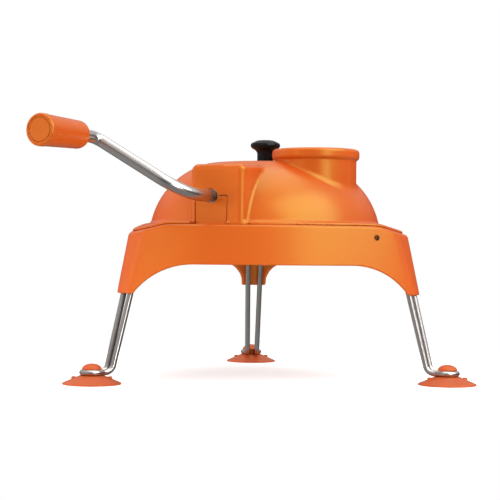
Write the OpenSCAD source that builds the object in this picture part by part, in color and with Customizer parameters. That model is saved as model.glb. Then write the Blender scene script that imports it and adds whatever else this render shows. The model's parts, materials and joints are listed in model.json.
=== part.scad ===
// Hand-cranked vegetable cutter on three wire legs with suction cups.
// The disc axis is vertical, the front panel faces -Y and the table is z = 0.

/* [Base] */
// Height of the flat deck above the table
deck_z = 163.5; // [155:0.5:175]
// Distance from the disc axis to the middle of a side panel, at deck height
panel_mid_r = 130; // [128:0.5:134]
// Curve radius of a side panel, seen from above
panel_curve_r = 246; // [236:1:260]
// Outward lean of the side panels in degrees
panel_lean = 10.7; // [8:0.1:13]
// Depth of a side panel below the deck
panel_h = 41; // [38:0.5:46]
// Half length of the straight lower edge of a side panel
arch_half = 81; // [76:1:90]
// Radius of the arches that run from the panels down to the legs
arch_r = 76; // [70:1:82]
// Half length of the straight lower edge towards the rear leg
rear_arch_half = 112.5; // [108:0.5:115]
// Radius of the arches at the rear leg
rear_arch_r = 30; // [28:0.5:36]
// Distance from the disc axis to a corner facet, at deck height
corner_r = 159; // [154:1:162]
// Outward lean of the corner facets and of the wire legs in degrees
leg_lean = 14.25; // [12:0.25:16]
// Depth of the two front legs of the base below the deck
leg_h = 71.5; // [68:0.5:76]
// Depth of the rear leg of the base below the deck
rear_leg_h = 68; // [64:0.5:68]
// Wall of the base
base_wall = 3; // [2.5:0.1:4.5]
// Distance from the disc axis out to which the deck is flat towards its falling sides
deck_flat = 126; // [125:0.5:130]
// Fall of the deck beyond its flat part in degrees
deck_fall = 16.5; // [12:0.5:20]
// Turn of the front falling sides from the front legs towards the rear in degrees
fall_turn = 20; // [10:1:26]

/* [Chamber] */
// Radius of the chamber that the disc turns in
chamber_r = 106; // [105:0.5:110]
// Depth of the chamber wall below the deck
chamber_h = 30; // [26:0.5:34]
// Thickness of the spider arms below the disc
spider_h = 10; // [7:0.5:13]
// Width of a spider arm
spider_w = 10; // [7:0.5:14]
// Radius of the spider's hub
spider_hub_r = 16; // [13:0.5:20]
// Height of the spider's hub
spider_hub_h = 18; // [14:0.5:22]

/* [Cover] */
// Height of the dome above the deck
dome_h = 69; // [66:0.5:74]
// Radius of the dome where it meets the lip
dome_foot_r = 124.5; // [122:0.5:126]
// Radius of the dome's flat top
dome_top_r = 60.5; // [56:0.5:66]
// Radius of the dome's rounded side
dome_curve_r = 85; // [80:1:95]
// Wall of the cover
cover_wall = 3; // [2:0.1:4]
// Thickness of the lip that lies on the deck
lip_t = 3; // [2:0.1:4]
// Distance from the lip's edge to the edge of the deck along the panels
lip_inset = 3; // [2:0.1:4]
// Distance from the lip's edge to the corner facets
lip_corner_inset = 7; // [5:0.5:10]
// Thickness of the cover's top round the knob
cover_top_t = 6; // [4:0.5:8]
// Radius of the thick part of the cover's top
cover_boss_r = 14; // [12:0.5:16]

/* [Hopper] */
// Inner radius of the feed hopper
hopper_r = 40.5; // [36:0.5:41]
// Wall of the hopper
hopper_wall = 3; // [2:0.1:3.5]
// Distance from the disc axis to the hopper's axis
hopper_offset = 65; // [63:0.5:65]
// Direction of the hopper round the disc axis in degrees
hopper_az = 322; // [315:1:330]
// Height of the hopper above the dome's top
hopper_rise = 13; // [12:0.5:16]
// Height of the hopper's rim bead
rim_h = 11.5; // [8:0.5:12]
// How far the rim bead stands out from the hopper
rim_out = 3.2; // [2:0.1:3.5]
// Gap between the hopper's lower end and the blades
feed_gap = 2; // [1.5:0.1:3]

/* [Gear box] */
// Direction of the crank axis round the disc axis in degrees
crank_az = 240; // [232:1:246]
// Height of the crank axis above the deck
crank_rise = 29; // [27.5:0.5:31]
// Distance from the disc axis to the gear box's face
box_face_u = 126.5; // [124:0.5:128]
// Width of the gear box
box_w = 62; // [58:0.5:66]
// Distance from the crank axis to the middle of the gear box, to the right
box_side = 6; // [4:0.5:8]
// Height of the gear box above the deck
box_h = 62; // [57:0.5:64]
// Rounding of the gear box's edges
box_round = 8; // [4:0.5:9]
// Width of the base's tab under the crank shaft
tab_w = 36; // [30:0.5:40]
// Thickness of the tab
tab_t = 9; // [7:0.5:12]
// Depth of the shaft hole's narrow front part
tab_front = 2.5; // [1.5:0.1:4]

/* [Crank] */
// Diameter of the crank rod
rod_d = 12.5; // [11.8:0.1:14]
// Diameter of the turned journal
journal_d = 11.6; // [10.6:0.1:11.7]
// Length of shaft between the gear box's face and the first bend
shaft_out = 24; // [18:1:36]
// Length of journal that shows in front of the gear box's face
journal_out = 6; // [3:0.5:12]
// Distance from the crank axis to the grip axis
crank_r = 106; // [96:1:115]
// Bend radius at the shaft
bend_shaft_r = 39; // [30:1:44]
// Bend radius at the grip
bend_grip_r = 12; // [10:1:20]
// Angle between the arm and the crank axis in degrees
arm_angle = 77.5; // [70:0.5:90]
// Height of the grip seen from the shaft at rest in degrees above level
crank_rest = 32.2; // [0:0.1:90]
// Outer radius of the crank bush
bush_r = 8.5; // [8:0.1:9.5]
// Radius of the shaft's pilot in the axle
pilot_r = 2.5; // [2:0.1:3]

/* [Grip] */
// Length of the grip
grip_l = 69; // [60:1:90]
// Length of rod between the second bend and the grip
grip_stand = 18; // [10:1:24]
// Diameter of the grip's free end
grip_end_d = 31.5; // [28:0.5:36]
// Diameter of the grip's inner end
grip_neck_d = 27.5; // [25:0.5:30]
// Diameter of the rod's end inside the grip
grip_pin_d = 10; // [8:0.2:11.5]
// Depth of the recess in the grip's free end
grip_recess = 7; // [5:0.5:10]
// Diameter of the grip's end cap
grip_cap_d = 23; // [20:0.5:25]

/* [Gears] */
// Module of the bevel gears at their large ends
gear_module = 1.75; // [1.6:0.05:1.8]
// Teeth of the crank gear
crank_teeth = 20; // [20:2:20]
// Teeth of the hub gear
hub_teeth = 16; // [16:2:16]
// Length of the teeth as a share of the cone, left at the small end
tooth_keep = 0.68; // [0.64:0.01:0.76]
// Tooth thickness as a share of the pitch
tooth_share = 0.34; // [0.3:0.01:0.36]
// Length of the gear bosses
gear_boss_l = 9; // [8:0.5:10]

/* [Axle and disc] */
// Radius of the central axle
axle_r = 5; // [4.5:0.1:5.4]
// Radius of the axle's threaded ends
axle_end_r = 3; // [2.5:0.1:3.4]
// Radius of the hub's sleeve
sleeve_r = 7; // [6.6:0.1:7.2]
// Radius of the cutting disc
disc_r = 102.5; // [98:0.5:103]
// Thickness of the cutting disc
disc_t = 2; // [1.5:0.1:3]
// Depth of the disc's top below the deck
disc_drop = 3.5; // [2:0.5:5]
// Radius of the hub's flange and of the clamp ring
flange_r = 18; // [17:0.5:20]
// Thickness of the hub's flange
flange_t = 4; // [3:0.5:6]
// Thickness of the clamp ring
clamp_t = 2.5; // [2:0.1:3]
// Number of slicing blades
blades = 3; // [3:1:3]
// Length of a slicing blade
blade_l = 66; // [50:1:68]
// Width of a slicing blade
blade_w = 15; // [12:0.5:18]
// Thickness of a slicing blade
blade_t = 1.5; // [1:0.1:2]
// Width of the slot in front of a blade
slot_w = 8; // [6:0.5:10]

/* [Knob] */
// Radius of the knob's head
knob_r = 16.3; // [14:0.1:17]
// Radius of the knob's stem
knob_stem_r = 8.9; // [8.2:0.1:9.5]
// Height of the knob above the cover
knob_h = 25.5; // [23:0.5:28]
// Height of the knob's head
knob_head_h = 9.5; // [8:0.5:9.5]
// Radius of the spigot that passes through the cover
spigot_r = 6.5; // [6.2:0.1:7]

/* [Legs and cups] */
// Diameter of the leg wire
wire_d = 6; // [5:0.1:7]
// Distance between the two wires of a leg at the clamp
wire_top_gap = 16; // [14.5:0.5:18]
// Distance between the two wires of a leg at the foot
wire_foot_gap = 11.6; // [10:0.2:14]
// Bend radius at the foot
wire_bend_r = 9; // [7:0.5:12]
// Straight run between the bend and the eye
wire_run = 1.5; // [1:0.5:8]
// Height of the wire eye above the table
eye_z = 12; // [11:0.5:15]
// Radius of the wire eye, to the wire's middle
eye_r = 9.75; // [9:0.25:12]
// Radius of the curves that lead into the eye
eye_lead_r = 8; // [6:0.5:10]
// Height of a clamp plate along the leg
clamp_plate_h = 27; // [25:0.5:34]
// Thickness of a clamp plate
clamp_plate_t = 4; // [3:0.5:6]
// Radius of a suction cup
cup_r = 30; // [26:0.5:34]
// Height of a cup's head above the wire eye
cup_head_h = 6; // [4:0.5:8]
// Radius of a cup's head
cup_head_r = 10.2; // [9.5:0.1:12]
// Width of the flat lip that a cup stands on
cup_lip = 3; // [2:0.5:5]

/* [Fits] */
// Radial clearance of a running fit
run_fit = 0.06; // [0.02:0.01:0.1]
// Clearance between fixed pieces that are slid together
seat_fit = 0.1; // [0.05:0.01:0.2]
// Clearance between the cover and what it lies over
cover_gap = 0.4; // [0.3:0.05:0.8]

/* [Hidden] */

$fn = 96;

// Far enough to pass right through the object
far = 700;
// How far a cut runs past the face that it opens
over = 1;
// Angle from one leg to the next
third = 120;
// Small overlap that joins pieces of one moulding
bite = 0.5;
// Directions of the left, right and rear legs
LEFT = 210;
RIGHT = 330;
REAR = 90;

panel_offset = panel_curve_r - panel_mid_r;
panel_bottom_z = deck_z - panel_h;
leg_bottom_z = deck_z - leg_h;
deck_under_z = deck_z - base_wall;
chamber_bottom_z = deck_z - chamber_h;

// The dome's side is an arc from its foot to the edge of its flat top, turned about the disc axis
top_z = deck_z + dome_h;
foot_z = deck_z + lip_t;
dome_in = dome_foot_r - dome_top_r;
dome_up = top_z - foot_z;
dome_chord = norm([dome_in, dome_up]);
dome_back = sqrt(dome_curve_r ^ 2 - dome_chord ^ 2 / 4);
dome_ring_r = (dome_foot_r + dome_top_r) / 2 - dome_back * dome_up / dome_chord;
dome_centre_z = (foot_z + top_z) / 2 - dome_back * dome_in / dome_chord;

crank_z = deck_z + crank_rise;
box_top_z = deck_z + box_h;
rim_top_z = top_z + hopper_rise;

rod_r = rod_d / 2;
journal_r = journal_d / 2;
bend_u = box_face_u + shaft_out;
shoulder_u = box_face_u + journal_out;
arm_l = (crank_r - (bend_shaft_r + bend_grip_r) * (1 - cos(arm_angle))) / sin(arm_angle);
bend_grip_u = bend_u + (bend_shaft_r + bend_grip_r) * sin(arm_angle) + arm_l * cos(arm_angle);
grip_seat_u = bend_grip_u + grip_stand;
// End play of the grip between the rod's shoulder and its washer
grip_play = 0.4;
grip_u = grip_seat_u + grip_play;
grip_tip_u = grip_u + grip_l;
grip_pin_r = grip_pin_d / 2;
recess_u = grip_tip_u - grip_recess;
grip_cap_t = 2;
grip_washer_t = 1.2;
grip_washer_r = grip_pin_r + 2.5;
grip_recess_r = grip_washer_r + 1;
grip_screw_r = 2;
grip_screw_l = 12;
grip_screw_head_r = 4;
grip_screw_head_h = 2.2;

// Bevel gears share their apex where the crank axis meets the disc axis
crank_pitch_r = gear_module * crank_teeth / 2;
hub_pitch_r = gear_module * hub_teeth / 2;
crank_cone = atan2(crank_pitch_r, hub_pitch_r);
hub_cone = 90 - crank_cone;
tooth_up = 0.85 * gear_module;
tooth_down = 1.2 * gear_module;
tooth_flank = 20;
// Large end of the crank teeth, a little inside that of the hub teeth
crank_tooth_start = 0.97;
crank_gear_u = hub_pitch_r * crank_tooth_start;
hub_gear_z = crank_z - crank_pitch_r;
gear_boss_step = 4;
crank_boss_r = crank_pitch_r - tooth_down - gear_boss_step;
hub_boss_r = hub_pitch_r - tooth_down;
gear_pin_r = 1.5;
gear_pin_u = crank_gear_u + gear_boss_l / 2;
grub_r = 1.5;
grub_gap = 0.2;
pilot_l = 3;
shaft_end_u = axle_r + pilot_l;

disc_top_z = deck_z - disc_drop;
disc_z = disc_top_z - disc_t;
flange_z = disc_z - flange_t;
thrust_gap = 0.1;
axle_flange_r = 9;
axle_seat_z = chamber_bottom_z - (spider_hub_h - spider_h) / 2 + spider_hub_h;
spider_hub_z = axle_seat_z - spider_hub_h;
axle_flange_t = flange_z - thrust_gap - axle_seat_z;
axle_rise = 8;
axle_shoulder_z = crank_z + pilot_r + axle_rise;
washer_t = 1.5;
washer_r = 10;
nut_h = 5;
nut_r = 6.5;
axle_tail = 2;
axle_low_z = spider_hub_z - washer_t - nut_h - axle_tail;
disc_screw_r = 2;
disc_screw_z = flange_z + flange_t / 4;
disc_screw_head_r = 3;
disc_screw_head_h = 1.8;
hub_step = 2.5;
spigot_hub_r = sleeve_r + hub_step;
disc_screw_circle = (flange_r + spigot_hub_r) / 2;
blade_inset = 8;
blade_start_r = flange_r + blade_inset;
blade_lift = 1.2;
blade_top_z = disc_top_z + blade_t + blade_lift;
feed_z = max(blade_top_z, disc_top_z + clamp_t + disc_screw_head_h) + feed_gap;
// Share of a blade's width that lies flat on the disc
blade_flat = 0.6;
blade_edge = 2;
rivet_r = 1.6;
rivet_head_r = 2.8;
rivet_head_h = 1;
rivet_inset = 8;

// Knob heights run up from the cover's top
knob_top_z = top_z + knob_h;
knob_head_z = knob_top_z - knob_head_h;
clip_t = 1;
clip_gap = 0.2;
groove_depth = 0.9;
clip_z = top_z - cover_top_t - clip_gap - clip_t;
clip_w = 2.5;
spigot_tail = 2;
spigot_wall = 2;
spigot_z = clip_z - spigot_tail;
insert_r = spigot_r - spigot_wall;
insert_up = 2;
insert_top_z = knob_head_z + insert_up;
axle_end_gap = 3;
axle_top_z = insert_top_z - axle_end_gap;
knob_crown_r = 6;
knob_flare = 4;
knob_edge_inset = 1.5;
// Share of the head's height that lies below its widest place
knob_edge_share = 0.42;

bush_front_u = box_face_u - tab_front;
tab_back_u = box_face_u - tab_t;
// The tab's foot reaches down to where the deck has begun to fall
tab_low_z = deck_z - bite - max(0, norm([box_face_u, tab_w / 2]) - deck_flat) * tan(deck_fall);
bush_flange_t = 2;
bush_flange_w = 2.5;
bush_flange_r = bush_r + bush_flange_w;
shaft_gap = 0.6;
shaft_hole_r = rod_r + shaft_gap;
saddle_side = 2;

wire_r = wire_d / 2;
// Fall of the deck from its flat part to a corner facet
corner_drop = max(0, corner_r - deck_flat) * tan(deck_fall);
clamp_room = 1;
clamp_mid = corner_drop + base_wall + clamp_room + clamp_plate_h / 2;
clamp_side = 1;
clamp_plate_w = wire_top_gap + wire_d + 2 * clamp_side;
clamp_boss_r = 3.6;
clamp_screw_r = 1.5;
clamp_screw_head_r = 3;
clamp_screw_head_h = 1.8;
clamp_screw_inset = 6;
clamp_screw_step = clamp_plate_h - 2 * clamp_screw_inset;
// The wires end a little below the falling deck
wire_top_room = 3;
wire_top = base_wall + corner_drop + wire_top_room;
wire_bend_z = eye_z + wire_bend_r * (1 - sin(leg_lean));
// The wires lie against the facet, or as far in as the two side panels leave room for them
wire_side_gap = 0.3;
wire_room = wire_r + wire_side_gap;
wire_in = max(
    base_wall + wire_r + seat_fit,
    corner_room(wire_half_gap(wire_top), wire_room, wire_top),
    corner_room(wire_half_gap(leg_h), wire_room, leg_h)
);

// Foot of a wire leg in the upright plane of the leg
wire_top_r = corner_r + wire_top * tan(leg_lean) - wire_in / cos(leg_lean);
wire_foot_r = corner_r + (deck_z - wire_bend_z) * tan(leg_lean) - wire_in / cos(leg_lean);
wire_level_r = wire_foot_r + wire_bend_r * cos(leg_lean);
lead_y = wire_foot_gap / 2 + eye_lead_r;
lead_x = sqrt((eye_r + eye_lead_r) ^ 2 - lead_y ^ 2);
lead_turn = atan2(lead_x, lead_y);
foot_circle_r = wire_level_r + wire_run + lead_x;

cup_neck_r = eye_r - wire_r - seat_fit;
cup_shoulder_z = eye_z - wire_r - seat_fit;
cup_head_z = eye_z + wire_r + seat_fit;
cup_edge_h = 1.2;
cup_hollow_z = 4;
cup_head_edge = 0.5;
cup_head_inset = 0.5;
// Places of the cup's bends as shares of its radius and of its shoulder's height
cup_dish_share = 0.45;
cup_dish_rise = 0.85;
cup_skirt_share = 0.68;
cup_skirt_rise = 0.62;
cup_neck_share = 0.42;
cup_tab_r = 18.5;
cup_tab_l = 4.4;
cup_tab_t = 2.5;
cup_tab_top_z = 8;

panel_screw_turn = 25.7;
// The screw sits below the edge of the deck, which may have begun to fall there
panel_screw_out = panel_curve_r * sin(panel_screw_turn) * cos(RIGHT + fall_turn)
    - (panel_curve_r * cos(panel_screw_turn) - panel_offset) * sin(RIGHT + fall_turn);
panel_screw_edge = 11.95;
panel_screw_drop = panel_screw_edge + max(0, panel_screw_out - deck_flat) * tan(deck_fall);
panel_screw_r = 1.6;
panel_screw_head_r = 3;
panel_screw_head_h = 1;
panel_screw_l = 10;
panel_boss_r = 4;

// The origin lies below the middle of the whole object's box
grip_level = crank_r * cos(crank_rest);
grip_end_x = grip_tip_u * cos(crank_az) + grip_level * sin(crank_az);
grip_end_y = grip_tip_u * sin(crank_az) - grip_level * cos(crank_az);
box_left = grip_end_x - grip_end_d / 2 * abs(sin(crank_az));
box_right = foot_circle_r * cos(RIGHT) + cup_r;
box_front = grip_end_y - grip_end_d / 2 * abs(cos(crank_az));
box_back = foot_circle_r + cup_r;
axis_x = -(box_left + box_right) / 2;
axis_y = -(box_front + box_back) / 2;

ORANGE = "darkorange";
STEEL = "silver";
RUBBER = "orangered";

function panel_r(z) = panel_curve_r + (deck_z - z) * tan(panel_lean);

// Half the distance between the wires of a leg, some way down from the deck
function wire_half_gap(down) =
    let (share = (down - wire_top) / (deck_z - wire_bend_z - wire_top))
    (wire_top_gap + (wire_foot_gap - wire_top_gap) * share) / 2;

// How far in from a corner facet a point to one side clears the panel by some room, some way down
function corner_room(half, room, down) =
    let (
        r = panel_r(deck_z - down) - (base_wall + room) / cos(panel_lean),
        reach = sqrt(r ^ 2 - (half + panel_offset * sin(third / 2)) ^ 2) - panel_offset * cos(third / 2)
    )
    (corner_r + down * tan(leg_lean) - reach) * cos(leg_lean);

// Points of a straight-sided gear outline at the large end of a bevel gear
function gear_outline(teeth, pitch_r, cone) = [
    for (k = [0 : teeth - 1], side = [-1, 1], end = side < 0 ? [0, 1] : [1, 0])
        let (
            out = end == 1 ? tooth_up : -tooth_down,
            r = pitch_r + out * cos(cone),
            half = tooth_share * PI * gear_module / 2 - out * tan(tooth_flank),
            a = 360 * k / teeth + side * half / pitch_r * 180 / PI
        )
        [r * cos(a), r * sin(a)]
];

module on_axis() {
    translate([axis_x, axis_y, 0]) children();
}

// Frame of the crank axis: x runs outward along it, z is up, the origin is on the disc axis
module on_crank() {
    on_axis() translate([0, 0, crank_z]) rotate([0, 0, crank_az]) children();
}

// Frame of the crank arm: x along the crank axis, y from that axis towards the grip
module on_arm() {
    on_crank() rotate([180 - crank_rest, 0, 0]) children();
}

// Frame of a corner facet: x points out of it, z runs up along it from deck height
module on_facet(az) {
    rotate([0, 0, az]) translate([corner_r, 0, deck_z]) rotate([0, -leg_lean, 0]) children();
}

// Cylinder along x from one place to another
module x_rod(from, to, r) {
    translate([from, 0, 0]) rotate([0, 90, 0]) cylinder(h = to - from, r = r);
}

// Round rod swept along a path whose run is never parallel to the vector up
module swept_rod(path, r, sides, up) {
    last = len(path) - 1;
    rings = [
        for (k = [0 : last])
            let (
                run = path[min(k + 1, last)] - path[max(k - 1, 0)],
                across = cross(run, up) / norm(cross(run, up)),
                over = cross(across, run) / norm(run)
            )
            for (j = [0 : sides - 1])
                path[k] + r * (cos(360 * j / sides) * across + sin(360 * j / sides) * over)
    ];
    walls = [
        for (k = [0 : last - 1], j = [0 : sides - 1])
            let (a = k * sides + j, b = k * sides + (j + 1) % sides)
            each [[a, b, a + sides], [b, b + sides, a + sides]]
    ];
    start = [for (j = [sides - 1 : -1 : 0]) j];
    end = [for (j = [0 : sides - 1]) last * sides + j];
    polyhedron(points = rings, faces = concat([start], walls, [end]), convexity = 8);
}

// Points of an arc in the plane of two unit vectors
function arc(centre, r, from, to, steps, ax, ay) = [
    for (k = [0 : steps])
        let (a = from + (to - from) * k / steps) centre + r * (cos(a) * ax + sin(a) * ay)
];

// Everything inside one leaning side panel, reaching a little past both heights
module inside_panel(turn, panel_in, low, high, past) {
    from = low - past;
    to = high + past;
    shrink = panel_in / cos(panel_lean);
    rotate([0, 0, turn]) translate([0, panel_offset, from])
        cylinder(h = to - from, r1 = panel_r(from) - shrink, r2 = panel_r(to) - shrink);
}

// Upright block with the outline of the base between two heights
module three_corner_block(panel_in, corner_in, low, high) {
    difference() {
        intersection() {
            inside_panel(0, panel_in, low, high, 0);
            inside_panel(third, panel_in, low, high, over);
            inside_panel(2 * third, panel_in, low, high, 2 * over);
        }
        for (az = [LEFT, RIGHT, REAR])
            on_facet(az) translate([-corner_in, -corner_r / 2, -far / 2]) cube([far, corner_r, far]);
    }
}

// Everything below one falling side of the deck
module below_side(az, height, flat) {
    rotate([0, 0, az]) translate([flat, 0, height]) rotate([0, deck_fall, 0])
        translate([-far, -far, -far]) cube([2 * far, 2 * far, far]);
}

// Everything under a deck that is flat in the middle and falls towards the legs
module under_deck(height, flat) {
    intersection() {
        translate([-far / 2, -far / 2, height - far]) cube(far);
        below_side(LEFT - fall_turn, height, flat);
        below_side(RIGHT + fall_turn, height, flat);
        below_side(REAR, height, flat);
    }
}

// Opening below one side panel, with an arch at each end, tighter at the end by the rear leg
module panel_arch(rear_side) {
    rotate([90, 0, 0]) linear_extrude(far)
        for (side = [-1, 1]) {
            half = side == rear_side ? rear_arch_half : arch_half;
            r = side == rear_side ? rear_arch_r : arch_r;
            translate([side > 0 ? -bite : -half, panel_bottom_z - far]) square([half + bite, far]);
            translate([side * half, panel_bottom_z - r]) circle(r);
        }
}

module base_shell() {
    difference() {
        intersection() {
            three_corner_block(0, 0, leg_bottom_z, deck_z);
            under_deck(deck_z, deck_flat);
        }
        intersection() {
            three_corner_block(base_wall, base_wall, leg_bottom_z - over, deck_under_z);
            under_deck(deck_under_z, deck_flat);
        }
        rotate([0, 0, REAR]) translate([corner_r / 2, -corner_r / 2, leg_bottom_z - over])
            cube([far, corner_r, leg_h - rear_leg_h + over]);
        panel_arch(0);
        rotate([0, 0, third]) panel_arch(1);
        rotate([0, 0, -third]) panel_arch(-1);
        translate([0, 0, deck_under_z - over]) cylinder(h = base_wall + 2 * over, r = chamber_r);
    }
}

module chamber() {
    wall_h = deck_under_z + bite - chamber_bottom_z;
    difference() {
        translate([0, 0, chamber_bottom_z]) cylinder(h = wall_h, r = chamber_r + base_wall);
        translate([0, 0, chamber_bottom_z - over]) cylinder(h = wall_h + 2 * over, r = chamber_r);
    }
    for (az = [LEFT, RIGHT, REAR])
        rotate([0, 0, az]) translate([0, -spider_w / 2, chamber_bottom_z])
            cube([chamber_r + bite, spider_w, spider_h]);
    translate([0, 0, spider_hub_z]) cylinder(h = spider_hub_h, r = spider_hub_r);
}

// Places of the two clamp screws of a leg, on the facet's frame
module at_clamp_screws() {
    for (side = [-1, 1])
        translate([0, 0, -clamp_mid + side * clamp_screw_step / 2]) children();
}

// Frame of the panel screw: x points out of the panel, the origin is on its face
module on_panel_screw() {
    z = deck_z - panel_screw_drop;
    translate([0, panel_offset, z]) rotate([0, 0, panel_screw_turn - 90])
        translate([panel_r(z), 0, 0]) rotate([0, -panel_lean, 0]) children();
}

module base_frame() {
    color(ORANGE) on_axis() difference() {
        union() {
            base_shell();
            chamber();
            rotate([0, 0, crank_az]) translate([tab_back_u, -tab_w / 2, tab_low_z])
                cube([tab_t, tab_w, crank_z - tab_low_z]);
            for (az = [LEFT, RIGHT, REAR])
                on_facet(az) at_clamp_screws()
                    x_rod(-wire_in - wire_r - seat_fit, -base_wall + bite, clamp_boss_r);
            on_panel_screw() x_rod(-panel_screw_l, -base_wall + bite, panel_boss_r);
        }
        translate([0, 0, spider_hub_z - over])
            cylinder(h = spider_hub_h + 2 * over, r = axle_r + seat_fit);
        translate([0, 0, crank_z]) rotate([0, 0, crank_az]) {
            x_rod(tab_back_u - over, bush_front_u, bush_r + seat_fit);
            x_rod(bush_front_u - over, box_face_u + over, shaft_hole_r);
        }
        for (az = [LEFT, RIGHT, REAR])
            on_facet(az) at_clamp_screws()
                x_rod(-wire_in - wire_r - over, -base_wall, clamp_screw_r + seat_fit);
        on_panel_screw() x_rod(-panel_screw_l - over, over, panel_screw_r + seat_fit);
    }
}

// Axle with a flange that sits on the spider and a cross hole for the crank's pilot
module center_axle() {
    color(STEEL) difference() {
        on_axis() {
            translate([0, 0, axle_low_z]) cylinder(h = axle_shoulder_z - axle_low_z, r = axle_r);
            translate([0, 0, axle_seat_z]) cylinder(h = axle_flange_t, r = axle_flange_r);
            translate([0, 0, axle_shoulder_z]) cylinder(h = axle_top_z - axle_shoulder_z, r = axle_end_r);
        }
        on_crank() x_rod(-axle_r - over, axle_r + over, pilot_r + run_fit);
    }
}

module axle_washer() {
    color(STEEL) on_axis() translate([0, 0, spider_hub_z - washer_t]) difference() {
        cylinder(h = washer_t, r = washer_r);
        translate([0, 0, -over]) cylinder(h = washer_t + 2 * over, r = axle_r + seat_fit);
    }
}

module axle_nut() {
    color(STEEL) on_axis() translate([0, 0, spider_hub_z - washer_t - nut_h]) difference() {
        cylinder(h = nut_h, r = (nut_r + axle_r - axle_end_r) / cos(30), $fn = 6);
        translate([0, 0, -over]) cylinder(h = nut_h + 2 * over, r = axle_r + seat_fit);
    }
}

// Split seats in the tab and the cover hold this bush, and its flange lies behind the tab
module crank_bush() {
    color("ivory") on_crank() difference() {
        union() {
            x_rod(tab_back_u - bush_flange_t, bush_front_u - seat_fit, bush_r);
            x_rod(tab_back_u - bush_flange_t, tab_back_u - seat_fit, bush_flange_r);
        }
        x_rod(tab_back_u - bush_flange_t - over, bush_front_u + over, journal_r + run_fit);
    }
}

module panel_screw() {
    color("dimgray") on_axis() on_panel_screw() {
        x_rod(-panel_screw_l, bite, panel_screw_r);
        x_rod(seat_fit, panel_screw_head_h, panel_screw_head_r);
    }
}

// Half of a leg's hairpin: down the leg, round the foot bend, and along half of the eye
function half_wire(side) = concat(
    [[wire_top_r, side * wire_top_gap / 2, deck_z - wire_top]],
    arc(
        [wire_level_r, side * wire_foot_gap / 2, eye_z + wire_bend_r], wire_bend_r,
        180 + leg_lean, 270, 6, [1, 0, 0], [0, 0, 1]
    ),
    arc(
        [wire_level_r + wire_run, side * lead_y, eye_z], eye_lead_r,
        -90, lead_turn - 90, 4, [1, 0, 0], [0, side, 0]
    ),
    arc([foot_circle_r, 0, eye_z], eye_r, 80 + lead_turn, 10, 10, [1, 0, 0], [0, side, 0])
);

// One wire, bent to a hairpin with an eye round the cup's neck
module leg_wire(az) {
    far_side = half_wire(-1);
    path = concat(half_wire(1), [for (k = [len(far_side) - 1 : -1 : 0]) far_side[k]]);
    color(STEEL) on_axis() rotate([0, 0, az]) swept_rod(path, wire_r, 12, [1, 0, 1]);
}

// Cup with a neck for the wire eye, a rounded head over it and two pull tabs on the skirt
module suction_cup(az) {
    head = [for (a = [0 : 15 : 75]) [
        cup_head_r * cos(a), cup_head_z + cup_head_edge + (cup_head_h - cup_head_edge) * sin(a)
    ]];
    outline = concat(
        [
            [0, cup_hollow_z], [cup_r * cup_dish_share, cup_hollow_z * cup_dish_rise],
            [cup_r - cup_lip, 0], [cup_r, 0], [cup_r, cup_edge_h],
            [cup_r * cup_skirt_share, cup_shoulder_z * cup_skirt_rise],
            [cup_r * cup_neck_share, cup_shoulder_z], [cup_neck_r, cup_shoulder_z],
            [cup_neck_r, cup_head_z], [cup_head_r - cup_head_inset, cup_head_z]
        ],
        head,
        [[0, cup_head_z + cup_head_h]]
    );
    color(RUBBER) on_axis() rotate([0, 0, az]) translate([foot_circle_r, 0, 0]) {
        rotate_extrude() polygon(outline);
        for (side = [0, 180])
            rotate([0, 0, side - az]) translate([cup_tab_r - cup_tab_l / 2, -cup_tab_t / 2, cup_hollow_z])
                cube([cup_tab_l, cup_tab_t, cup_tab_top_z - cup_hollow_z]);
    }
}

// Plate that presses the two wires of a leg against the facet
module leg_clamp(az) {
    outer = -wire_in - wire_r - seat_fit;
    color("gray") on_axis() on_facet(az) difference() {
        translate([outer - clamp_plate_t, -clamp_plate_w / 2, -clamp_mid - clamp_plate_h / 2])
            cube([clamp_plate_t, clamp_plate_w, clamp_plate_h]);
        at_clamp_screws() x_rod(outer - clamp_plate_t - over, outer + over, clamp_screw_r + seat_fit);
    }
}

module leg_clamp_screws() {
    plate = -wire_in - wire_r - seat_fit - clamp_plate_t;
    color("dimgray") on_axis() for (az = [LEFT, RIGHT, REAR])
        on_facet(az) at_clamp_screws() {
            x_rod(plate - clamp_screw_head_h, plate, clamp_screw_head_r);
            x_rod(plate - bite, -base_wall - bite, clamp_screw_r);
        }
}

module hopper_at(z) {
    rotate([0, 0, hopper_az]) translate([hopper_offset, 0, z]) children();
}

// Upright outline of the gear box with rounded upper corners
module arched_outline(w, h, r) {
    translate([-w / 2, 0]) square([w, h - r]);
    translate([r - w / 2, 0]) square([w - 2 * r, h]);
    for (side = [-1, 1])
        translate([side * (w / 2 - r), h - r]) circle(r);
}

// Gear box block: rounded along its top edges and down its front corners
module gear_box_block() {
    translate([0, box_side, 0]) intersection() {
        rotate([90, 0, 90]) linear_extrude(box_face_u) arched_outline(box_w, box_h, box_round);
        linear_extrude(box_h) rotate([0, 0, -90]) arched_outline(box_w, box_face_u, box_round);
        rotate([90, 0, 0]) translate([0, 0, -box_w]) linear_extrude(2 * box_w)
            arched_outline(2 * box_face_u, box_h, box_round);
    }
}

// Half section of the dome between two heights, set in from its outside
module dome_section(inset, low, high) {
    intersection() {
        union() {
            translate([dome_ring_r, dome_centre_z]) circle(dome_curve_r - inset, $fn = 180);
            translate([0, low]) square([dome_ring_r, high - low]);
        }
        translate([0, low]) square([2 * dome_foot_r, high - low]);
    }
}

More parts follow.
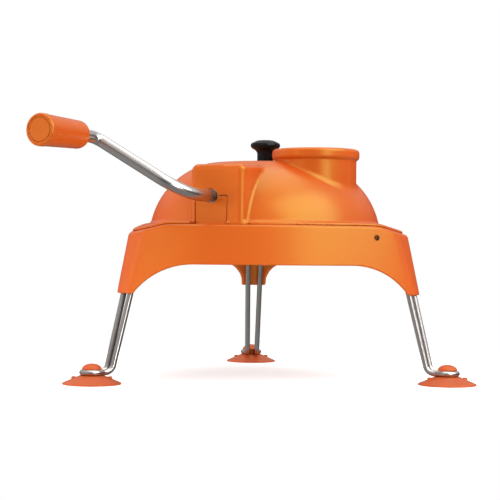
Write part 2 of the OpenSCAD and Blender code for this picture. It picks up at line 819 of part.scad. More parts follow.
module cover_shell() {
    inside_w = box_w - 2 * cover_wall;
    difference() {
        union() {
            rotate_extrude($fn = 180) dome_section(0, deck_z, top_z);
            difference() {
                intersection() {
                    three_corner_block(lip_inset, lip_corner_inset, panel_bottom_z, foot_z);
                    under_deck(foot_z, deck_flat);
                }
                under_deck(deck_z, deck_flat + cover_gap / sin(deck_fall));
            }
            translate([0, 0, deck_z]) rotate([0, 0, crank_az]) gear_box_block();
        }
        rotate_extrude($fn = 180) dome_section(cover_wall, deck_z - over, top_z - cover_wall);
        rotate([0, 0, crank_az]) translate([0, box_side - inside_w / 2, deck_z - over])
            cube([box_face_u - cover_wall, inside_w, box_h + over - cover_wall]);
    }
}

// Bead round the hopper's mouth, rounded above and below
module rim_bead() {
    round_r = min(rim_h / 2, (rim_out + hopper_wall) * 0.6);
    outer = hopper_r + hopper_wall + rim_out;
    rotate_extrude() {
        translate([hopper_r, 0]) square([outer - round_r - hopper_r, rim_h]);
        translate([hopper_r, round_r]) square([outer - hopper_r, rim_h - 2 * round_r]);
        for (z = [round_r, rim_h - round_r])
            translate([outer - round_r, z]) circle(round_r);
    }
}

module cover() {
    slot_w = tab_w + 2 * cover_gap;
    saddle_w = 2 * (bush_r + cover_wall + saddle_side);
    color(ORANGE) on_axis() difference() {
        union() {
            cover_shell();
            hopper_at(feed_z) cylinder(h = rim_top_z - feed_z, r = hopper_r + hopper_wall);
            hopper_at(rim_top_z - rim_h) rim_bead();
            translate([0, 0, top_z - cover_top_t]) cylinder(h = cover_top_t - bite, r = cover_boss_r);
            rotate([0, 0, crank_az]) translate([tab_back_u, -saddle_w / 2, crank_z + cover_gap])
                cube([tab_t - bite, saddle_w, box_top_z - cover_wall + bite - crank_z - cover_gap]);
        }
        hopper_at(feed_z - over) cylinder(h = rim_top_z - feed_z + 2 * over, r = hopper_r);
        translate([0, 0, top_z - cover_top_t - over])
            cylinder(h = cover_top_t + 2 * over, r = spigot_r + run_fit);
        rotate([0, 0, crank_az]) translate([tab_back_u - cover_gap, -slot_w / 2, deck_z - far / 2])
            cube([far, slot_w, crank_rise + cover_gap + far / 2]);
        translate([0, 0, crank_z]) rotate([0, 0, crank_az]) {
            x_rod(tab_back_u - over, bush_front_u + cover_gap, bush_r + cover_gap);
            x_rod(bush_front_u, box_face_u + over, shaft_hole_r);
        }
    }
}

// Mushroom knob with a spigot through the cover and a blind hole for its insert
module knob() {
    edge_h = knob_head_h * knob_edge_share;
    crown = [for (a = [0 : 15 : 90]) [
        knob_r + knob_crown_r * (cos(a) - 1), knob_head_z + edge_h + (knob_head_h - edge_h) * sin(a)
    ]];
    groove_r = spigot_r - groove_depth;
    groove_low = clip_z - seat_fit;
    groove_high = clip_z + clip_t + seat_fit;
    shoulder_z = top_z + thrust_gap;
    outline = concat(
        [
            [insert_r + seat_fit, spigot_z], [spigot_r, spigot_z], [spigot_r, groove_low],
            [groove_r, groove_low], [groove_r, groove_high], [spigot_r, groove_high],
            [spigot_r, shoulder_z], [knob_stem_r, shoulder_z], [knob_stem_r, knob_head_z - knob_flare],
            [knob_stem_r + knob_flare, knob_head_z], [knob_r - knob_edge_inset, knob_head_z + edge_h / 2]
        ],
        crown,
        [[0, knob_top_z], [0, insert_top_z], [insert_r + seat_fit, insert_top_z]]
    );
    color("black") on_axis() rotate_extrude() polygon(outline);
}

module knob_insert() {
    color("goldenrod") on_axis() difference() {
        translate([0, 0, spigot_z]) cylinder(h = insert_top_z - spigot_z, r = insert_r);
        translate([0, 0, spigot_z - over])
            cylinder(h = insert_top_z - spigot_z + 2 * over, r = axle_end_r + run_fit);
    }
}

// Clip in the spigot's groove that keeps the knob on the cover
module knob_clip() {
    color(STEEL) on_axis() translate([0, 0, clip_z]) difference() {
        cylinder(h = clip_t, r = spigot_r + clip_w);
        translate([0, 0, -over]) cylinder(h = clip_t + 2 * over, r = spigot_r - groove_depth + seat_fit);
        translate([0, -spigot_r / 2, -over]) cube([2 * spigot_r, spigot_r, clip_t + 2 * over]);
    }
}

// Bent rod: pilot, journal, shaft, two bends with the arm between, and the pin inside the grip
module crank_rod() {
    pin_end_u = recess_u - grip_play / 2;
    path = concat(
        [[shoulder_u, 0, 0]],
        arc([bend_u, bend_shaft_r, 0], bend_shaft_r, -90, arm_angle - 90, 12, [1, 0, 0], [0, 1, 0]),
        arc(
            [bend_grip_u, crank_r - bend_grip_r, 0], bend_grip_r,
            90 + arm_angle, 90, 9, [1, 0, 0], [0, 1, 0]
        ),
        [[grip_seat_u, crank_r, 0]]
    );
    color(STEEL) difference() {
        on_arm() {
            x_rod(-axle_r, shaft_end_u + bite, pilot_r);
            x_rod(shaft_end_u, shoulder_u + bite, journal_r);
            swept_rod(path, rod_r, 24, [0, 0, 1]);
            translate([0, crank_r, 0]) x_rod(grip_seat_u - bite, pin_end_u, grip_pin_r);
        }
        on_crank() translate([gear_pin_u, 0, -far / 2]) cylinder(h = far, r = gear_pin_r + seat_fit);
        on_arm() translate([0, crank_r, 0])
            x_rod(pin_end_u - grip_screw_l - over, pin_end_u + over, grip_screw_r + seat_fit);
    }
}

module crank_gear() {
    teeth_h = hub_pitch_r * (crank_tooth_start - tooth_keep);
    color("darkgray") on_crank() difference() {
        union() {
            translate([crank_gear_u, 0, 0]) rotate([0, -90, 0])
                linear_extrude(teeth_h, scale = tooth_keep / crank_tooth_start)
                    scale(crank_tooth_start) polygon(gear_outline(crank_teeth, crank_pitch_r, crank_cone));
            x_rod(crank_gear_u - bite, crank_gear_u + gear_boss_l, crank_boss_r);
        }
        x_rod(-over, crank_gear_u + gear_boss_l + over, journal_r + seat_fit);
        translate([gear_pin_u, 0, -far / 2]) cylinder(h = far, r = gear_pin_r + seat_fit);
    }
}

module crank_gear_pin() {
    color(STEEL) on_crank() translate([gear_pin_u, 0, -crank_boss_r])
        cylinder(h = 2 * crank_boss_r, r = gear_pin_r);
}

module grip_washer() {
    color(STEEL) on_arm() translate([0, crank_r, 0]) difference() {
        x_rod(recess_u + grip_play / 2, recess_u + grip_play / 2 + grip_washer_t, grip_washer_r);
        x_rod(recess_u - over, recess_u + grip_washer_t + 2 * over, grip_screw_r + seat_fit);
    }
}

module grip_screw() {
    head_u = recess_u + grip_play / 2 + grip_washer_t;
    color("dimgray") on_arm() translate([0, crank_r, 0]) {
        x_rod(head_u, head_u + grip_screw_head_h, grip_screw_head_r);
        x_rod(recess_u - grip_screw_l, head_u + bite, grip_screw_r);
    }
}

// Handle turned on the rod's pin, with a rounded neck, a slight taper and a stepped end
module crank_grip() {
    neck_r = grip_neck_d / 2;
    end_r = grip_end_d / 2;
    neck_round = neck_r * 0.6;
    edge = 1.5;
    band_w = 6;
    band_step = 0.4;
    neck = [for (a = [0 : 15 : 90]) [
        neck_r - neck_round + neck_round * sin(a), neck_round * (1 - cos(a))
    ]];
    cap_r = grip_cap_d / 2 + seat_fit;
    cap_seat = grip_l - grip_cap_t - seat_fit;
    outline = concat(
        [[grip_pin_r + run_fit, 0]],
        neck,
        [
            [end_r - band_step, grip_l - 1.5 * band_w], [end_r, grip_l - band_w],
            [end_r, grip_l - edge], [end_r - edge, grip_l],
            [cap_r, grip_l], [cap_r, cap_seat], [grip_recess_r, cap_seat],
            [grip_recess_r, grip_l - grip_recess], [grip_pin_r + run_fit, grip_l - grip_recess]
        ]
    );
    color(ORANGE) on_arm() translate([grip_u, crank_r, 0]) rotate([0, 90, 0])
        rotate_extrude() polygon(outline);
}

module grip_cap() {
    color(ORANGE) on_arm() translate([0, crank_r, 0])
        x_rod(grip_tip_u - grip_cap_t, grip_tip_u - grip_cap_t / 4, grip_cap_d / 2);
}

// Hub that turns on the axle: flange under the disc, spigot in it and a sleeve up to the gear
module disc_hub() {
    sleeve_top_z = crank_z - crank_pitch_r * tooth_keep;
    color("lightgray") on_axis() difference() {
        union() {
            translate([0, 0, flange_z]) cylinder(h = flange_t, r = flange_r);
            translate([0, 0, flange_z]) cylinder(h = flange_t + disc_t + clamp_t, r = spigot_hub_r);
            translate([0, 0, flange_z]) cylinder(h = sleeve_top_z - flange_z, r = sleeve_r);
        }
        translate([0, 0, flange_z - over])
            cylinder(h = sleeve_top_z - flange_z + 2 * over, r = axle_r + run_fit);
        at_disc_screws(disc_screw_z) cylinder(h = flange_t, r = disc_screw_r + seat_fit);
    }
}

module hub_gear() {
    teeth_h = crank_pitch_r * (1 - tooth_keep);
    boss_z = hub_gear_z - gear_boss_l;
    color("darkgray") on_axis() difference() {
        union() {
            translate([0, 0, hub_gear_z]) rotate([0, 0, crank_az + 180 / hub_teeth])
                linear_extrude(teeth_h, scale = tooth_keep)
                    polygon(gear_outline(hub_teeth, hub_pitch_r, hub_cone));
            translate([0, 0, boss_z]) cylinder(h = gear_boss_l + bite, r = hub_boss_r);
        }
        translate([0, 0, boss_z - over])
            cylinder(h = gear_boss_l + teeth_h + 2 * over, r = sleeve_r + seat_fit);
        at_grub() x_rod(0, hub_boss_r + over, grub_r + seat_fit);
    }
}

module at_grub() {
    translate([0, 0, hub_gear_z - gear_boss_l / 2]) rotate([0, 0, crank_az + 180]) children();
}

// Headless screw that holds the gear on the hub's sleeve
module hub_gear_screw() {
    color("dimgray") on_axis() at_grub() x_rod(sleeve_r + grub_gap, hub_boss_r, grub_r);
}

module at_disc_screws(z) {
    for (k = [0 : 2])
        rotate([0, 0, third * (k + 0.5)]) translate([disc_screw_circle, 0, z]) children();
}

module at_blade(k) {
    rotate([0, 0, 360 * k / blades]) translate([blade_start_r, 0, 0]) children();
}

module at_rivets(k) {
    at_blade(k) for (x = [rivet_inset, blade_l - rivet_inset])
        translate([x, blade_w * (blade_flat / 2 - 1), 0]) children();
}

module cutting_disc() {
    color(STEEL) on_axis() difference() {
        translate([0, 0, disc_z]) cylinder(h = disc_t, r = disc_r, $fn = 180);
        translate([0, 0, disc_z - over]) cylinder(h = disc_t + 2 * over, r = spigot_hub_r + seat_fit);
        at_disc_screws(disc_z - over) cylinder(h = disc_t + 2 * over, r = disc_screw_r + seat_fit);
        for (k = [0 : blades - 1]) {
            at_blade(k) translate([0, -blade_edge, disc_z - over])
                cube([blade_l, slot_w, disc_t + 2 * over]);
            at_rivets(k) translate([0, 0, disc_z - over])
                cylinder(h = disc_t + 2 * over, r = rivet_r + seat_fit);
        }
    }
}

module disc_clamp() {
    color(STEEL) on_axis() difference() {
        translate([0, 0, disc_top_z]) cylinder(h = clamp_t, r = flange_r);
        translate([0, 0, disc_top_z - over])
            cylinder(h = clamp_t + 2 * over, r = spigot_hub_r + seat_fit);
        at_disc_screws(disc_top_z - over) cylinder(h = clamp_t + 2 * over, r = disc_screw_r + seat_fit);
    }
}

module disc_screws() {
    color("dimgray") on_axis() {
        at_disc_screws(disc_top_z + clamp_t) cylinder(h = disc_screw_head_h, r = disc_screw_head_r);
        at_disc_screws(disc_screw_z)
            cylinder(h = disc_top_z + clamp_t + bite - disc_screw_z, r = disc_screw_r);
    }
}

// Blade riveted behind its slot, with a ground edge raised over the slot
module slicing_blade(k) {
    bend = blade_w * (blade_flat - 1);
    profile = [
        [-blade_w, 0], [bend, 0], [0, blade_lift], [blade_edge, blade_lift + blade_t / 2],
        [0, blade_lift + blade_t], [bend, blade_t], [-blade_w, blade_t]
    ];
    color("gainsboro") on_axis() difference() {
        at_blade(k) translate([0, 0, disc_top_z]) rotate([90, 0, 90])
            linear_extrude(blade_l) polygon(profile);
        at_rivets(k) translate([0, 0, disc_top_z - over])
            cylinder(h = blade_t + 2 * over, r = rivet_r + seat_fit);
    }
}

module blade_rivets() {
    color("dimgray") on_axis() for (k = [0 : blades - 1])
        at_rivets(k) {
            translate([0, 0, disc_z]) cylinder(h = disc_t + blade_t + bite, r = rivet_r);
            translate([0, 0, disc_top_z + blade_t]) cylinder(h = rivet_head_h, r = rivet_head_r);
        }
}

base_frame();
center_axle();
axle_washer();
axle_nut();
crank_bush();
panel_screw();
leg_wire(LEFT);  // leg_wire_left
leg_wire(RIGHT);  // leg_wire_right
leg_wire(REAR);  // leg_wire_rear
suction_cup(LEFT);  // suction_cup_left
suction_cup(RIGHT);  // suction_cup_right
suction_cup(REAR);  // suction_cup_rear
leg_clamp(LEFT);  // leg_clamp_left
leg_clamp(RIGHT);  // leg_clamp_right
leg_clamp(REAR);  // leg_clamp_rear
leg_clamp_screws();
cover();
knob();
knob_insert();
knob_clip();
crank_rod();
crank_gear();
crank_gear_pin();
grip_washer();
grip_screw();
crank_grip();
grip_cap();
disc_hub();
hub_gear();
hub_gear_screw();
cutting_disc();
disc_clamp();
disc_screws();
slicing_blade(0);  // slicing_blade_1
slicing_blade(1);  // slicing_blade_2
slicing_blade(2);  // slicing_blade_3
blade_rivets();
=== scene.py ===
"""Looks of a hand-cranked vegetable cutter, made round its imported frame.

The mouldings are rounded fields turned into meshes, the rods and wires are swept along their
bends, and the fasteners are placed by node trees. Lengths are metres in the frame of the part.
"""

import json
import math

import bmesh
import bpy
import numpy as np
from bpy.props import FloatProperty, FloatVectorProperty, IntProperty, PointerProperty
from mathutils import Matrix, Vector


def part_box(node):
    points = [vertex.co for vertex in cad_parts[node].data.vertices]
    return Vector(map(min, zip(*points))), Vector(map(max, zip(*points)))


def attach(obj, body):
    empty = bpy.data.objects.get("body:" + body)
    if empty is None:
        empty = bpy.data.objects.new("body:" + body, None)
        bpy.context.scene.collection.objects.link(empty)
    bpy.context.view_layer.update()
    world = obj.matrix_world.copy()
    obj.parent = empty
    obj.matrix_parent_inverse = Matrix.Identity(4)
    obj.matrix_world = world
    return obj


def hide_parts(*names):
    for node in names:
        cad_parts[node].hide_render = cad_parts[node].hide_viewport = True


bl_info = {
    "name": "Vegetable cutter looks",
    "version": (1, 0, 0),
    "blender": (4, 5, 0),
    "location": "View3D > Sidebar > Cutter",
    "description": "Builds the visible pieces of a hand-cranked vegetable cutter",
    "category": "Object",
}

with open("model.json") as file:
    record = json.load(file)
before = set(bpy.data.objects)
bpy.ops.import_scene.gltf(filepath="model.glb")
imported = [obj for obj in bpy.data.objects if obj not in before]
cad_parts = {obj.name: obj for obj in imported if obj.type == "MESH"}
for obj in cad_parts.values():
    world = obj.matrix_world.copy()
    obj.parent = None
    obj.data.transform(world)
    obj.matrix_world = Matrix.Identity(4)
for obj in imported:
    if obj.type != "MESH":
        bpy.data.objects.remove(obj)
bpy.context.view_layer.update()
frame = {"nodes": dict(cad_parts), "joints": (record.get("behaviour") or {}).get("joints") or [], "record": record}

MM = 0.001
THIRD = math.radians(120)
LEFT, RIGHT, REAR = (math.radians(a) for a in (210, 330, 90))
LEGS = {"left": LEFT, "right": RIGHT, "rear": REAR}

# Edges sharper than these stay hard in turned pieces, the crank and the leg wires
TURNED_EDGE, CRANK_EDGE, WIRE_EDGE = (math.radians(a) for a in (35, 40, 50))


def joint_place(name):
    """Where a joint of the frame lies at rest."""
    return Vector(next(j for j in frame["joints"] if j["name"] == name)["pos_m"])


def mount_place(name):
    """Where a mount of the record lies."""
    return Vector(next(m for m in frame["record"]["mounts"] if m["name"] == name)["pos_m"])


DISC_AXIS = joint_place("disc_turn")
CRANK_START = joint_place("crank_turn")
KNOB_SEAT = joint_place("knob_turn")
HOPPER = mount_place("hopper_bore")


def length(name, words, value):
    """A size in metres, given in millimetres."""
    return FloatProperty(
        name=name, description=words, default=value * MM, unit="LENGTH", precision=5
    )


def angle(name, words, value):
    """An angle, given in degrees."""
    return FloatProperty(
        name=name, description=words, default=math.radians(value), subtype="ANGLE", unit="ROTATION"
    )


def colour(name, words, value):
    """A colour in linear light."""
    return FloatVectorProperty(
        name=name, description=words, default=value, size=3, subtype="COLOR", min=0, max=1
    )


class BaseSizes(bpy.types.PropertyGroup):
    """Sizes of the base moulding."""

    mould_step: length("Mesh step", "Grid step of the moulded meshes", 1.3)
    deck_height: length("Deck height", "Height of the flat deck above the table", 163.5)
    panel_mid: length("Panel distance", "From the disc axis to the middle of a side panel", 130)
    panel_curve: length("Panel curve", "Curve radius of a side panel", 246)
    panel_lean: angle("Panel lean", "Outward lean of the side panels", 10.7)
    panel_depth: length("Panel depth", "Depth of a side panel below the deck", 41)
    arch_half: length("Arch half", "Half of a panel's straight lower edge", 81)
    arch_round: length("Arch radius", "Radius of the arches at the front legs", 76)
    rear_arch_half: length("Rear arch half", "Half of the straight edge towards the rear leg", 112.5)
    rear_arch_round: length("Rear arch radius", "Radius of the arches at the rear leg", 30)
    corner_out: length("Corner distance", "From the disc axis to a corner facet", 159)
    leg_lean: angle("Leg lean", "Outward lean of the corner facets and wires", 14.25)
    leg_depth: length("Leg depth", "Depth of a front corner leg below the deck", 71.5)
    rear_leg_depth: length("Rear leg depth", "Depth of the rear corner leg below the deck", 68)
    wall: length("Wall", "Wall of the base", 3)
    deck_flat: length("Flat deck", "From the disc axis to where the deck begins to fall", 126)
    deck_fall: angle("Deck fall", "Fall of the deck beyond its flat part", 16.5)
    fall_turn: angle("Fall turn", "Turn of the front falling sides towards the rear", 20)
    deck_soften: length("Deck softening", "Rounding where the deck begins to fall", 1.6)
    chamber: length("Chamber", "Radius of the chamber that the disc turns in", 106)
    chamber_depth: length("Chamber depth", "Depth of the chamber wall below the deck", 30)
    arm_height: length("Arm height", "Height of the spider's arms", 10)
    arm_width: length("Arm width", "Width of the spider's arms", 10)
    hub: length("Hub", "Radius of the spider's hub", 16)
    hub_height: length("Hub height", "Height of the spider's hub", 18)
    edge_round: length("Edge rounding", "Rounding of the edge between deck and panels", 2.6)
    corner_round: length("Corner rounding", "Rounding of the edges beside the corner facets", 3)
    tab_width: length("Tab width", "Width of the tab under the crank shaft", 36)
    tab_depth: length("Tab depth", "Thickness of the tab under the crank shaft", 9)


class CoverSizes(bpy.types.PropertyGroup):
    """Sizes of the domed cover with its hopper and gear box."""

    dome_top: length("Dome top", "Height of the dome's flat top above the table", 232.5)
    dome_ring: length("Dome ring", "Radius of the ring that the dome's curve turns about", 41.17)
    dome_ring_height: length("Dome ring height", "Height of that ring above the table", 149.727)
    dome_curve: length("Dome curve", "Radius of the dome's rounded side", 85)
    dome_soften: length("Dome softening", "Rounding of the edge of the flat top", 2)
    wall: length("Wall", "Wall of the cover", 3)
    lip: length("Lip", "Thickness of the lip on the deck", 3)
    lip_round: length("Lip rounding", "Rounding of the lip's upper edge", 1.6)
    lip_gap: length("Lip gap", "Shadow gap between the lip and the deck", 0.12)
    lip_inset: length("Lip inset", "From the lip's edge to the panels", 3)
    lip_corner_inset: length("Lip corner inset", "From the lip's edge to the corner facets", 7)
    foot_fillet: length("Foot fillet", "Fillet between the dome and its lip", 3)
    boss: length("Boss", "Radius of the thick part round the knob", 14)
    boss_depth: length("Boss depth", "Thickness of the cover's top round the knob", 6)
    hopper: length("Hopper", "Inner radius of the hopper", 40.5)
    hopper_wall: length("Hopper wall", "Wall of the hopper", 3)
    hopper_low: length("Hopper end", "Height of the hopper's lower end", 166.3)
    hopper_top: length("Hopper top", "Height of the hopper's rim", 245.5)
    hopper_fillet: length("Hopper fillet", "Fillet between the hopper and the dome", 3.5)
    rim_height: length("Rim height", "Height of the hopper's rim bead", 11.5)
    rim_out: length("Rim", "How far the rim bead stands out", 3.2)
    rim_round: length("Rim rounding", "Rounding of the rim bead", 3.7)
    box_face: length("Gear box face", "From the disc axis to the gear box's face", 126.5)
    box_width: length("Gear box width", "Width of the gear box", 62)
    box_side: length("Gear box shift", "Shift of the gear box beside the crank axis", 6)
    box_top: length("Gear box top", "Height of the gear box above the table", 225.5)
    box_round: length("Gear box rounding", "Rounding of the gear box's edges", 7)
    box_fillet: length("Gear box fillet", "Fillet between the gear box and the dome", 3)


class CrankSizes(bpy.types.PropertyGroup):
    """Sizes of the crank, its grip and the clamp knob."""

    rod: length("Rod", "Radius of the crank rod", 6.25)
    journal: length("Journal", "Radius of the turned journal", 5.8)
    pilot: length("Pilot", "Radius of the pilot in the axle", 2.5)
    shaft_out: length("Shaft", "Shaft from the gear box's face to the first bend", 24)
    journal_out: length("Journal length", "Journal in front of the gear box's face", 6)
    arm: length("Arm", "From the crank axis to the grip axis", 106)
    shaft_bend: length("Shaft bend", "Bend radius at the shaft", 39)
    grip_bend: length("Grip bend", "Bend radius at the grip", 12)
    arm_angle: angle("Arm angle", "Angle between the arm and the crank axis", 77.5)
    rest: angle("Rest", "Height of the grip above level at rest", 32.2)
    direction: angle("Direction", "Direction of the crank axis round the disc axis", 240)
    grip_stand: length("Grip stand", "Rod between the second bend and the grip", 18)
    grip_length: length("Grip length", "Length of the grip", 69)
    grip_end: length("Grip end", "Radius of the grip's free end", 15.75)
    grip_neck: length("Grip neck", "Radius of the grip's inner end", 13.75)
    grip_pin: length("Grip pin", "Radius of the rod inside the grip", 5)
    grip_cap: length("Grip cap", "Radius of the grip's end cap", 11.5)
    knob: length("Knob", "Radius of the knob's head", 16.3)
    knob_stem: length("Knob stem", "Radius of the knob's stem", 8.9)
    knob_height: length("Knob height", "Height of the knob above the cover", 25.5)
    knob_head: length("Knob head", "Height of the knob's head", 9.5)


class FootSizes(bpy.types.PropertyGroup):
    """Sizes of the wire legs and the suction cups."""

    wire: length("Wire", "Radius of the leg wire", 3)
    wire_sides: IntProperty(name="Wire sides", description="Sides of the round wire", default=24)
    wire_in: length("Wire inset", "From a corner facet to the middle of its wires", 6.1)
    wire_top: length("Wire top", "Depth of the wires' upper ends below the deck", 15.775)
    top_gap: length("Upper gap", "Distance between a leg's wires at the clamp", 16)
    foot_gap: length("Foot gap", "Distance between a leg's wires at the foot", 11.6)
    bend: length("Foot bend", "Bend radius at the foot", 9)
    run: length("Foot run", "Straight run between the bend and the eye", 1.5)
    eye_height: length("Eye height", "Height of the wire eye above the table", 12)
    eye: length("Eye", "Radius of the wire eye", 9.75)
    eye_lead: length("Eye lead", "Radius of the curves that lead into the eye", 8)
    cup: length("Cup", "Radius of a suction cup", 30)
    cup_step: length("Cup mesh step", "Grid step of the cup's mesh", 0.65)
    cup_shoulder: length("Cup shoulder", "Height of the cup under the wire eye", 8.9)
    cup_hollow: length("Cup hollow", "Depth of the hollow under the cup", 4)
    cup_head: length("Cup head", "Radius of the cup's head", 10.2)
    cup_head_top: length("Cup head top", "Height of the cup's head above the table", 21.1)
    tab_place: length("Pull tab", "From the cup's axis to its pull tabs", 18.5)


class FinishColours(bpy.types.PropertyGroup):
    """Colours of the visible finishes."""

    orange: colour("Orange plastic", "Body, cover and grip", (0.52, 0.068, 0.0070))
    rubber: colour("Cup rubber", "Suction cups", (0.45, 0.074, 0.017))
    steel: colour("Polished steel", "Crank and leg wires", (0.63, 0.59, 0.565))
    black: colour("Black plastic", "Clamp knob", (0.008, 0.008, 0.009))
    sheet: colour("Sheet steel", "Cutting disc and clamp ring", (0.62, 0.62, 0.63))
    floor: colour("Floor", "Studio floor", (0.92, 0.92, 0.92))


def sizes():
    """The settings that the operators read."""
    return bpy.context.scene.cutter


class Socket:
    """A shader socket; sums and products of it add Math nodes to its tree."""

    def __init__(self, tree, out):
        self.tree = tree
        self.out = out

    def node(self, kind, settings, sockets, output=0):
        """Adds any node, sets its settings, then its sockets, and returns one output."""
        new = self.tree.nodes.new(kind)
        for name, value in settings.items():
            setattr(new, name, value)
        for key, value in sockets.items():
            if isinstance(value, Socket):
                self.tree.links.new(value.out, new.inputs[key])
            else:
                new.inputs[key].default_value = value
        return None if output is None else Socket(self.tree, new.outputs[output])

    def math(self, operation, first, second):
        """Adds a Math node."""
        return self.node("ShaderNodeMath", {"operation": operation}, {0: first, 1: second})

    def __add__(self, other):
        return self.math("ADD", self, other)

    def __radd__(self, other):
        return self.math("ADD", other, self)

    def __sub__(self, other):
        return self.math("SUBTRACT", self, other)

    def __rsub__(self, other):
        return self.math("SUBTRACT", other, self)

    def __mul__(self, other):
        return self.math("MULTIPLY", self, other)

    def __rmul__(self, other):
        return self.math("MULTIPLY", other, self)

    def blend(self, low, high):
        """Colour between two colours, by this value."""
        return self.node(
            "ShaderNodeMix",
            {"data_type": "RGBA"},
            {0: self, 6: (*low, 1), 7: (*high, 1)},
            output=2,
        )

    def stretched(self, centre, scale):
        """These coordinates about a centre, stretched."""
        moved = self.node("ShaderNodeVectorMath", {"operation": "SUBTRACT"}, {0: self, 1: centre})
        return moved.node("ShaderNodeVectorMath", {"operation": "MULTIPLY"}, {0: moved, 1: scale})

    def distance(self):
        """Length of these coordinates."""
        return self.node("ShaderNodeVectorMath", {"operation": "LENGTH"}, {0: self}, output=1)

    def eased(self, low, high, start, end):
        """This value, eased from a start to an end between two limits."""
        return self.node(
            "ShaderNodeMapRange", {"interpolation_type": "SMOOTHSTEP"},
            {"Value": self, "From Min": low, "From Max": high, "To Min": start, "To Max": end},
        )

    def noise(self, scale, detail=2.0, rough=0.5):
        """Soft noise of so many waves to the metre."""
        return self.node(
            "ShaderNodeTexNoise", {},
            {"Vector": self, "Scale": scale, "Detail": detail, "Roughness": rough},
        )


def finish(name, **fixed):
    """A material with its shader's fixed sockets set; returns it with its object coordinates."""
    material = bpy.data.materials.new(name)
    material.use_nodes = True
    tree = material.node_tree
    tree.nodes.clear()
    shader = tree.nodes.new("ShaderNodeBsdfPrincipled")
    output = tree.nodes.new("ShaderNodeOutputMaterial")
    tree.links.new(shader.outputs[0], output.inputs[0])
    for key, value in fixed.items():
        shader.inputs[key.replace("_", " ")].default_value = value
    place = tree.nodes.new("ShaderNodeTexCoord")
    return material, shader, Socket(tree, place.outputs["Object"])


def feed(shader, sockets):
    """Links what varies over the surface to the shader."""
    for key, value in sockets.items():
        value.tree.links.new(value.out, shader.inputs[key])


def bumped(height, strength, distance):
    """Normal of a surface raised by a height."""
    return height.node(
        "ShaderNodeBump", {}, {"Strength": strength, "Distance": distance, "Height": height}
    )


def shade(base, factor):
    """A lighter or darker tone of a colour."""
    return tuple(min(1.0, c * factor) for c in base)


def gloss_plastic(name, base, rough, grain, gloss=0.5, sheen=(1, 1, 1)):
    """Moulded plastic: slow colour drift, a satin drift in its gloss and a fine moulded grain."""
    material, shader, place = finish(name, Specular_IOR_Level=gloss, Specular_Tint=(*sheen, 1))
    drift = place.noise(9.0, 3.0)
    speck = place.noise(260.0, 2.0)
    tone = drift * 0.75 + speck * 0.25
    skin = place.noise(1150.0, 1.0)
    ripple = place.noise(38.0, 1.0)
    feed(shader, {
        "Base Color": tone.blend(shade(base, 0.90), shade(base, 1.10)),
        "Roughness": rough - 0.04 + drift * 0.05 + speck * 0.03,
        "Normal": bumped(skin * 0.35 + ripple * 1.6, grain, 0.4 * MM),
    })
    return material


def soft_rubber(name, base):
    """Rubber: matt, slightly dusty in patches, with a fine pebble."""
    material, shader, place = finish(name, Specular_IOR_Level=0.45, Specular_Tint=(1, 0.82, 0.5, 1))
    dust = place.noise(70.0, 4.0, 0.6)
    pebble = place.noise(1500.0, 2.0)
    feed(shader, {
        "Base Color": dust.blend(shade(base, 0.86), shade(base, 1.14)),
        "Roughness": 0.34 + dust * 0.16,
        "Normal": bumped(pebble, 0.12, 0.3 * MM),
    })
    return material


# Attribute that holds how far along a rod or wire a point lies, and its place in the round
RUN = "run"


def polished_rod(name, base):
    """Drawn and polished bar: fine lines along its length and a faint waviness."""
    material, shader, place = finish(name, Metallic=1.0)
    run = place.node("ShaderNodeAttribute", {"attribute_name": RUN}, {}, output="Vector")
    lines = run.stretched((0, 0, 0), (14.0, 2400.0, 2400.0)).noise(1.0, 2.0)
    wave = place.noise(55.0, 2.0)
    feed(shader, {
        "Base Color": wave.blend(shade(base, 0.93), shade(base, 1.05)),
        "Roughness": 0.22 + lines * 0.10 + wave * 0.04,
        "Normal": bumped(lines * 0.5 + wave, 0.05, 0.4 * MM),
    })
    return material


def turned_metal(name, base, rough, centre, pitch):
    """Metal with the rings that a lathe or a ring brush leaves about an upright axis."""
    material, shader, place = finish(name, Metallic=1.0)
    radius = place.stretched(centre, (1.0, 1.0, 0.0)).distance()
    rings = radius.node(
        "ShaderNodeTexNoise", {"noise_dimensions": "1D"}, {"W": radius, "Scale": pitch, "Detail": 3.0}
    )
    stain = place.noise(48.0, 3.0)
    feed(shader, {
        "Base Color": stain.blend(shade(base, 0.88), shade(base, 1.06)),
        "Roughness": rough + rings * 0.16 + stain * 0.06 - 0.1,
        "Normal": bumped(rings, 0.10, 0.3 * MM),
    })
    return material


def plain_metal(name, base, rough):
    """Plated or ground metal with a crossed fine scratch."""
    material, shader, place = finish(name, Metallic=1.0)
    scratch = place.stretched((0, 0, 0), (2600.0, 240.0, 900.0)).noise(1.0, 3.0)
    stain = place.noise(120.0, 3.0)
    feed(shader, {
        "Base Color": stain.blend(shade(base, 0.85), shade(base, 1.08)),
        "Roughness": rough + scratch * 0.16 + stain * 0.08 - 0.1,
        "Normal": bumped(scratch, 0.10, 0.2 * MM),
    })
    return material


FINISHES = {}


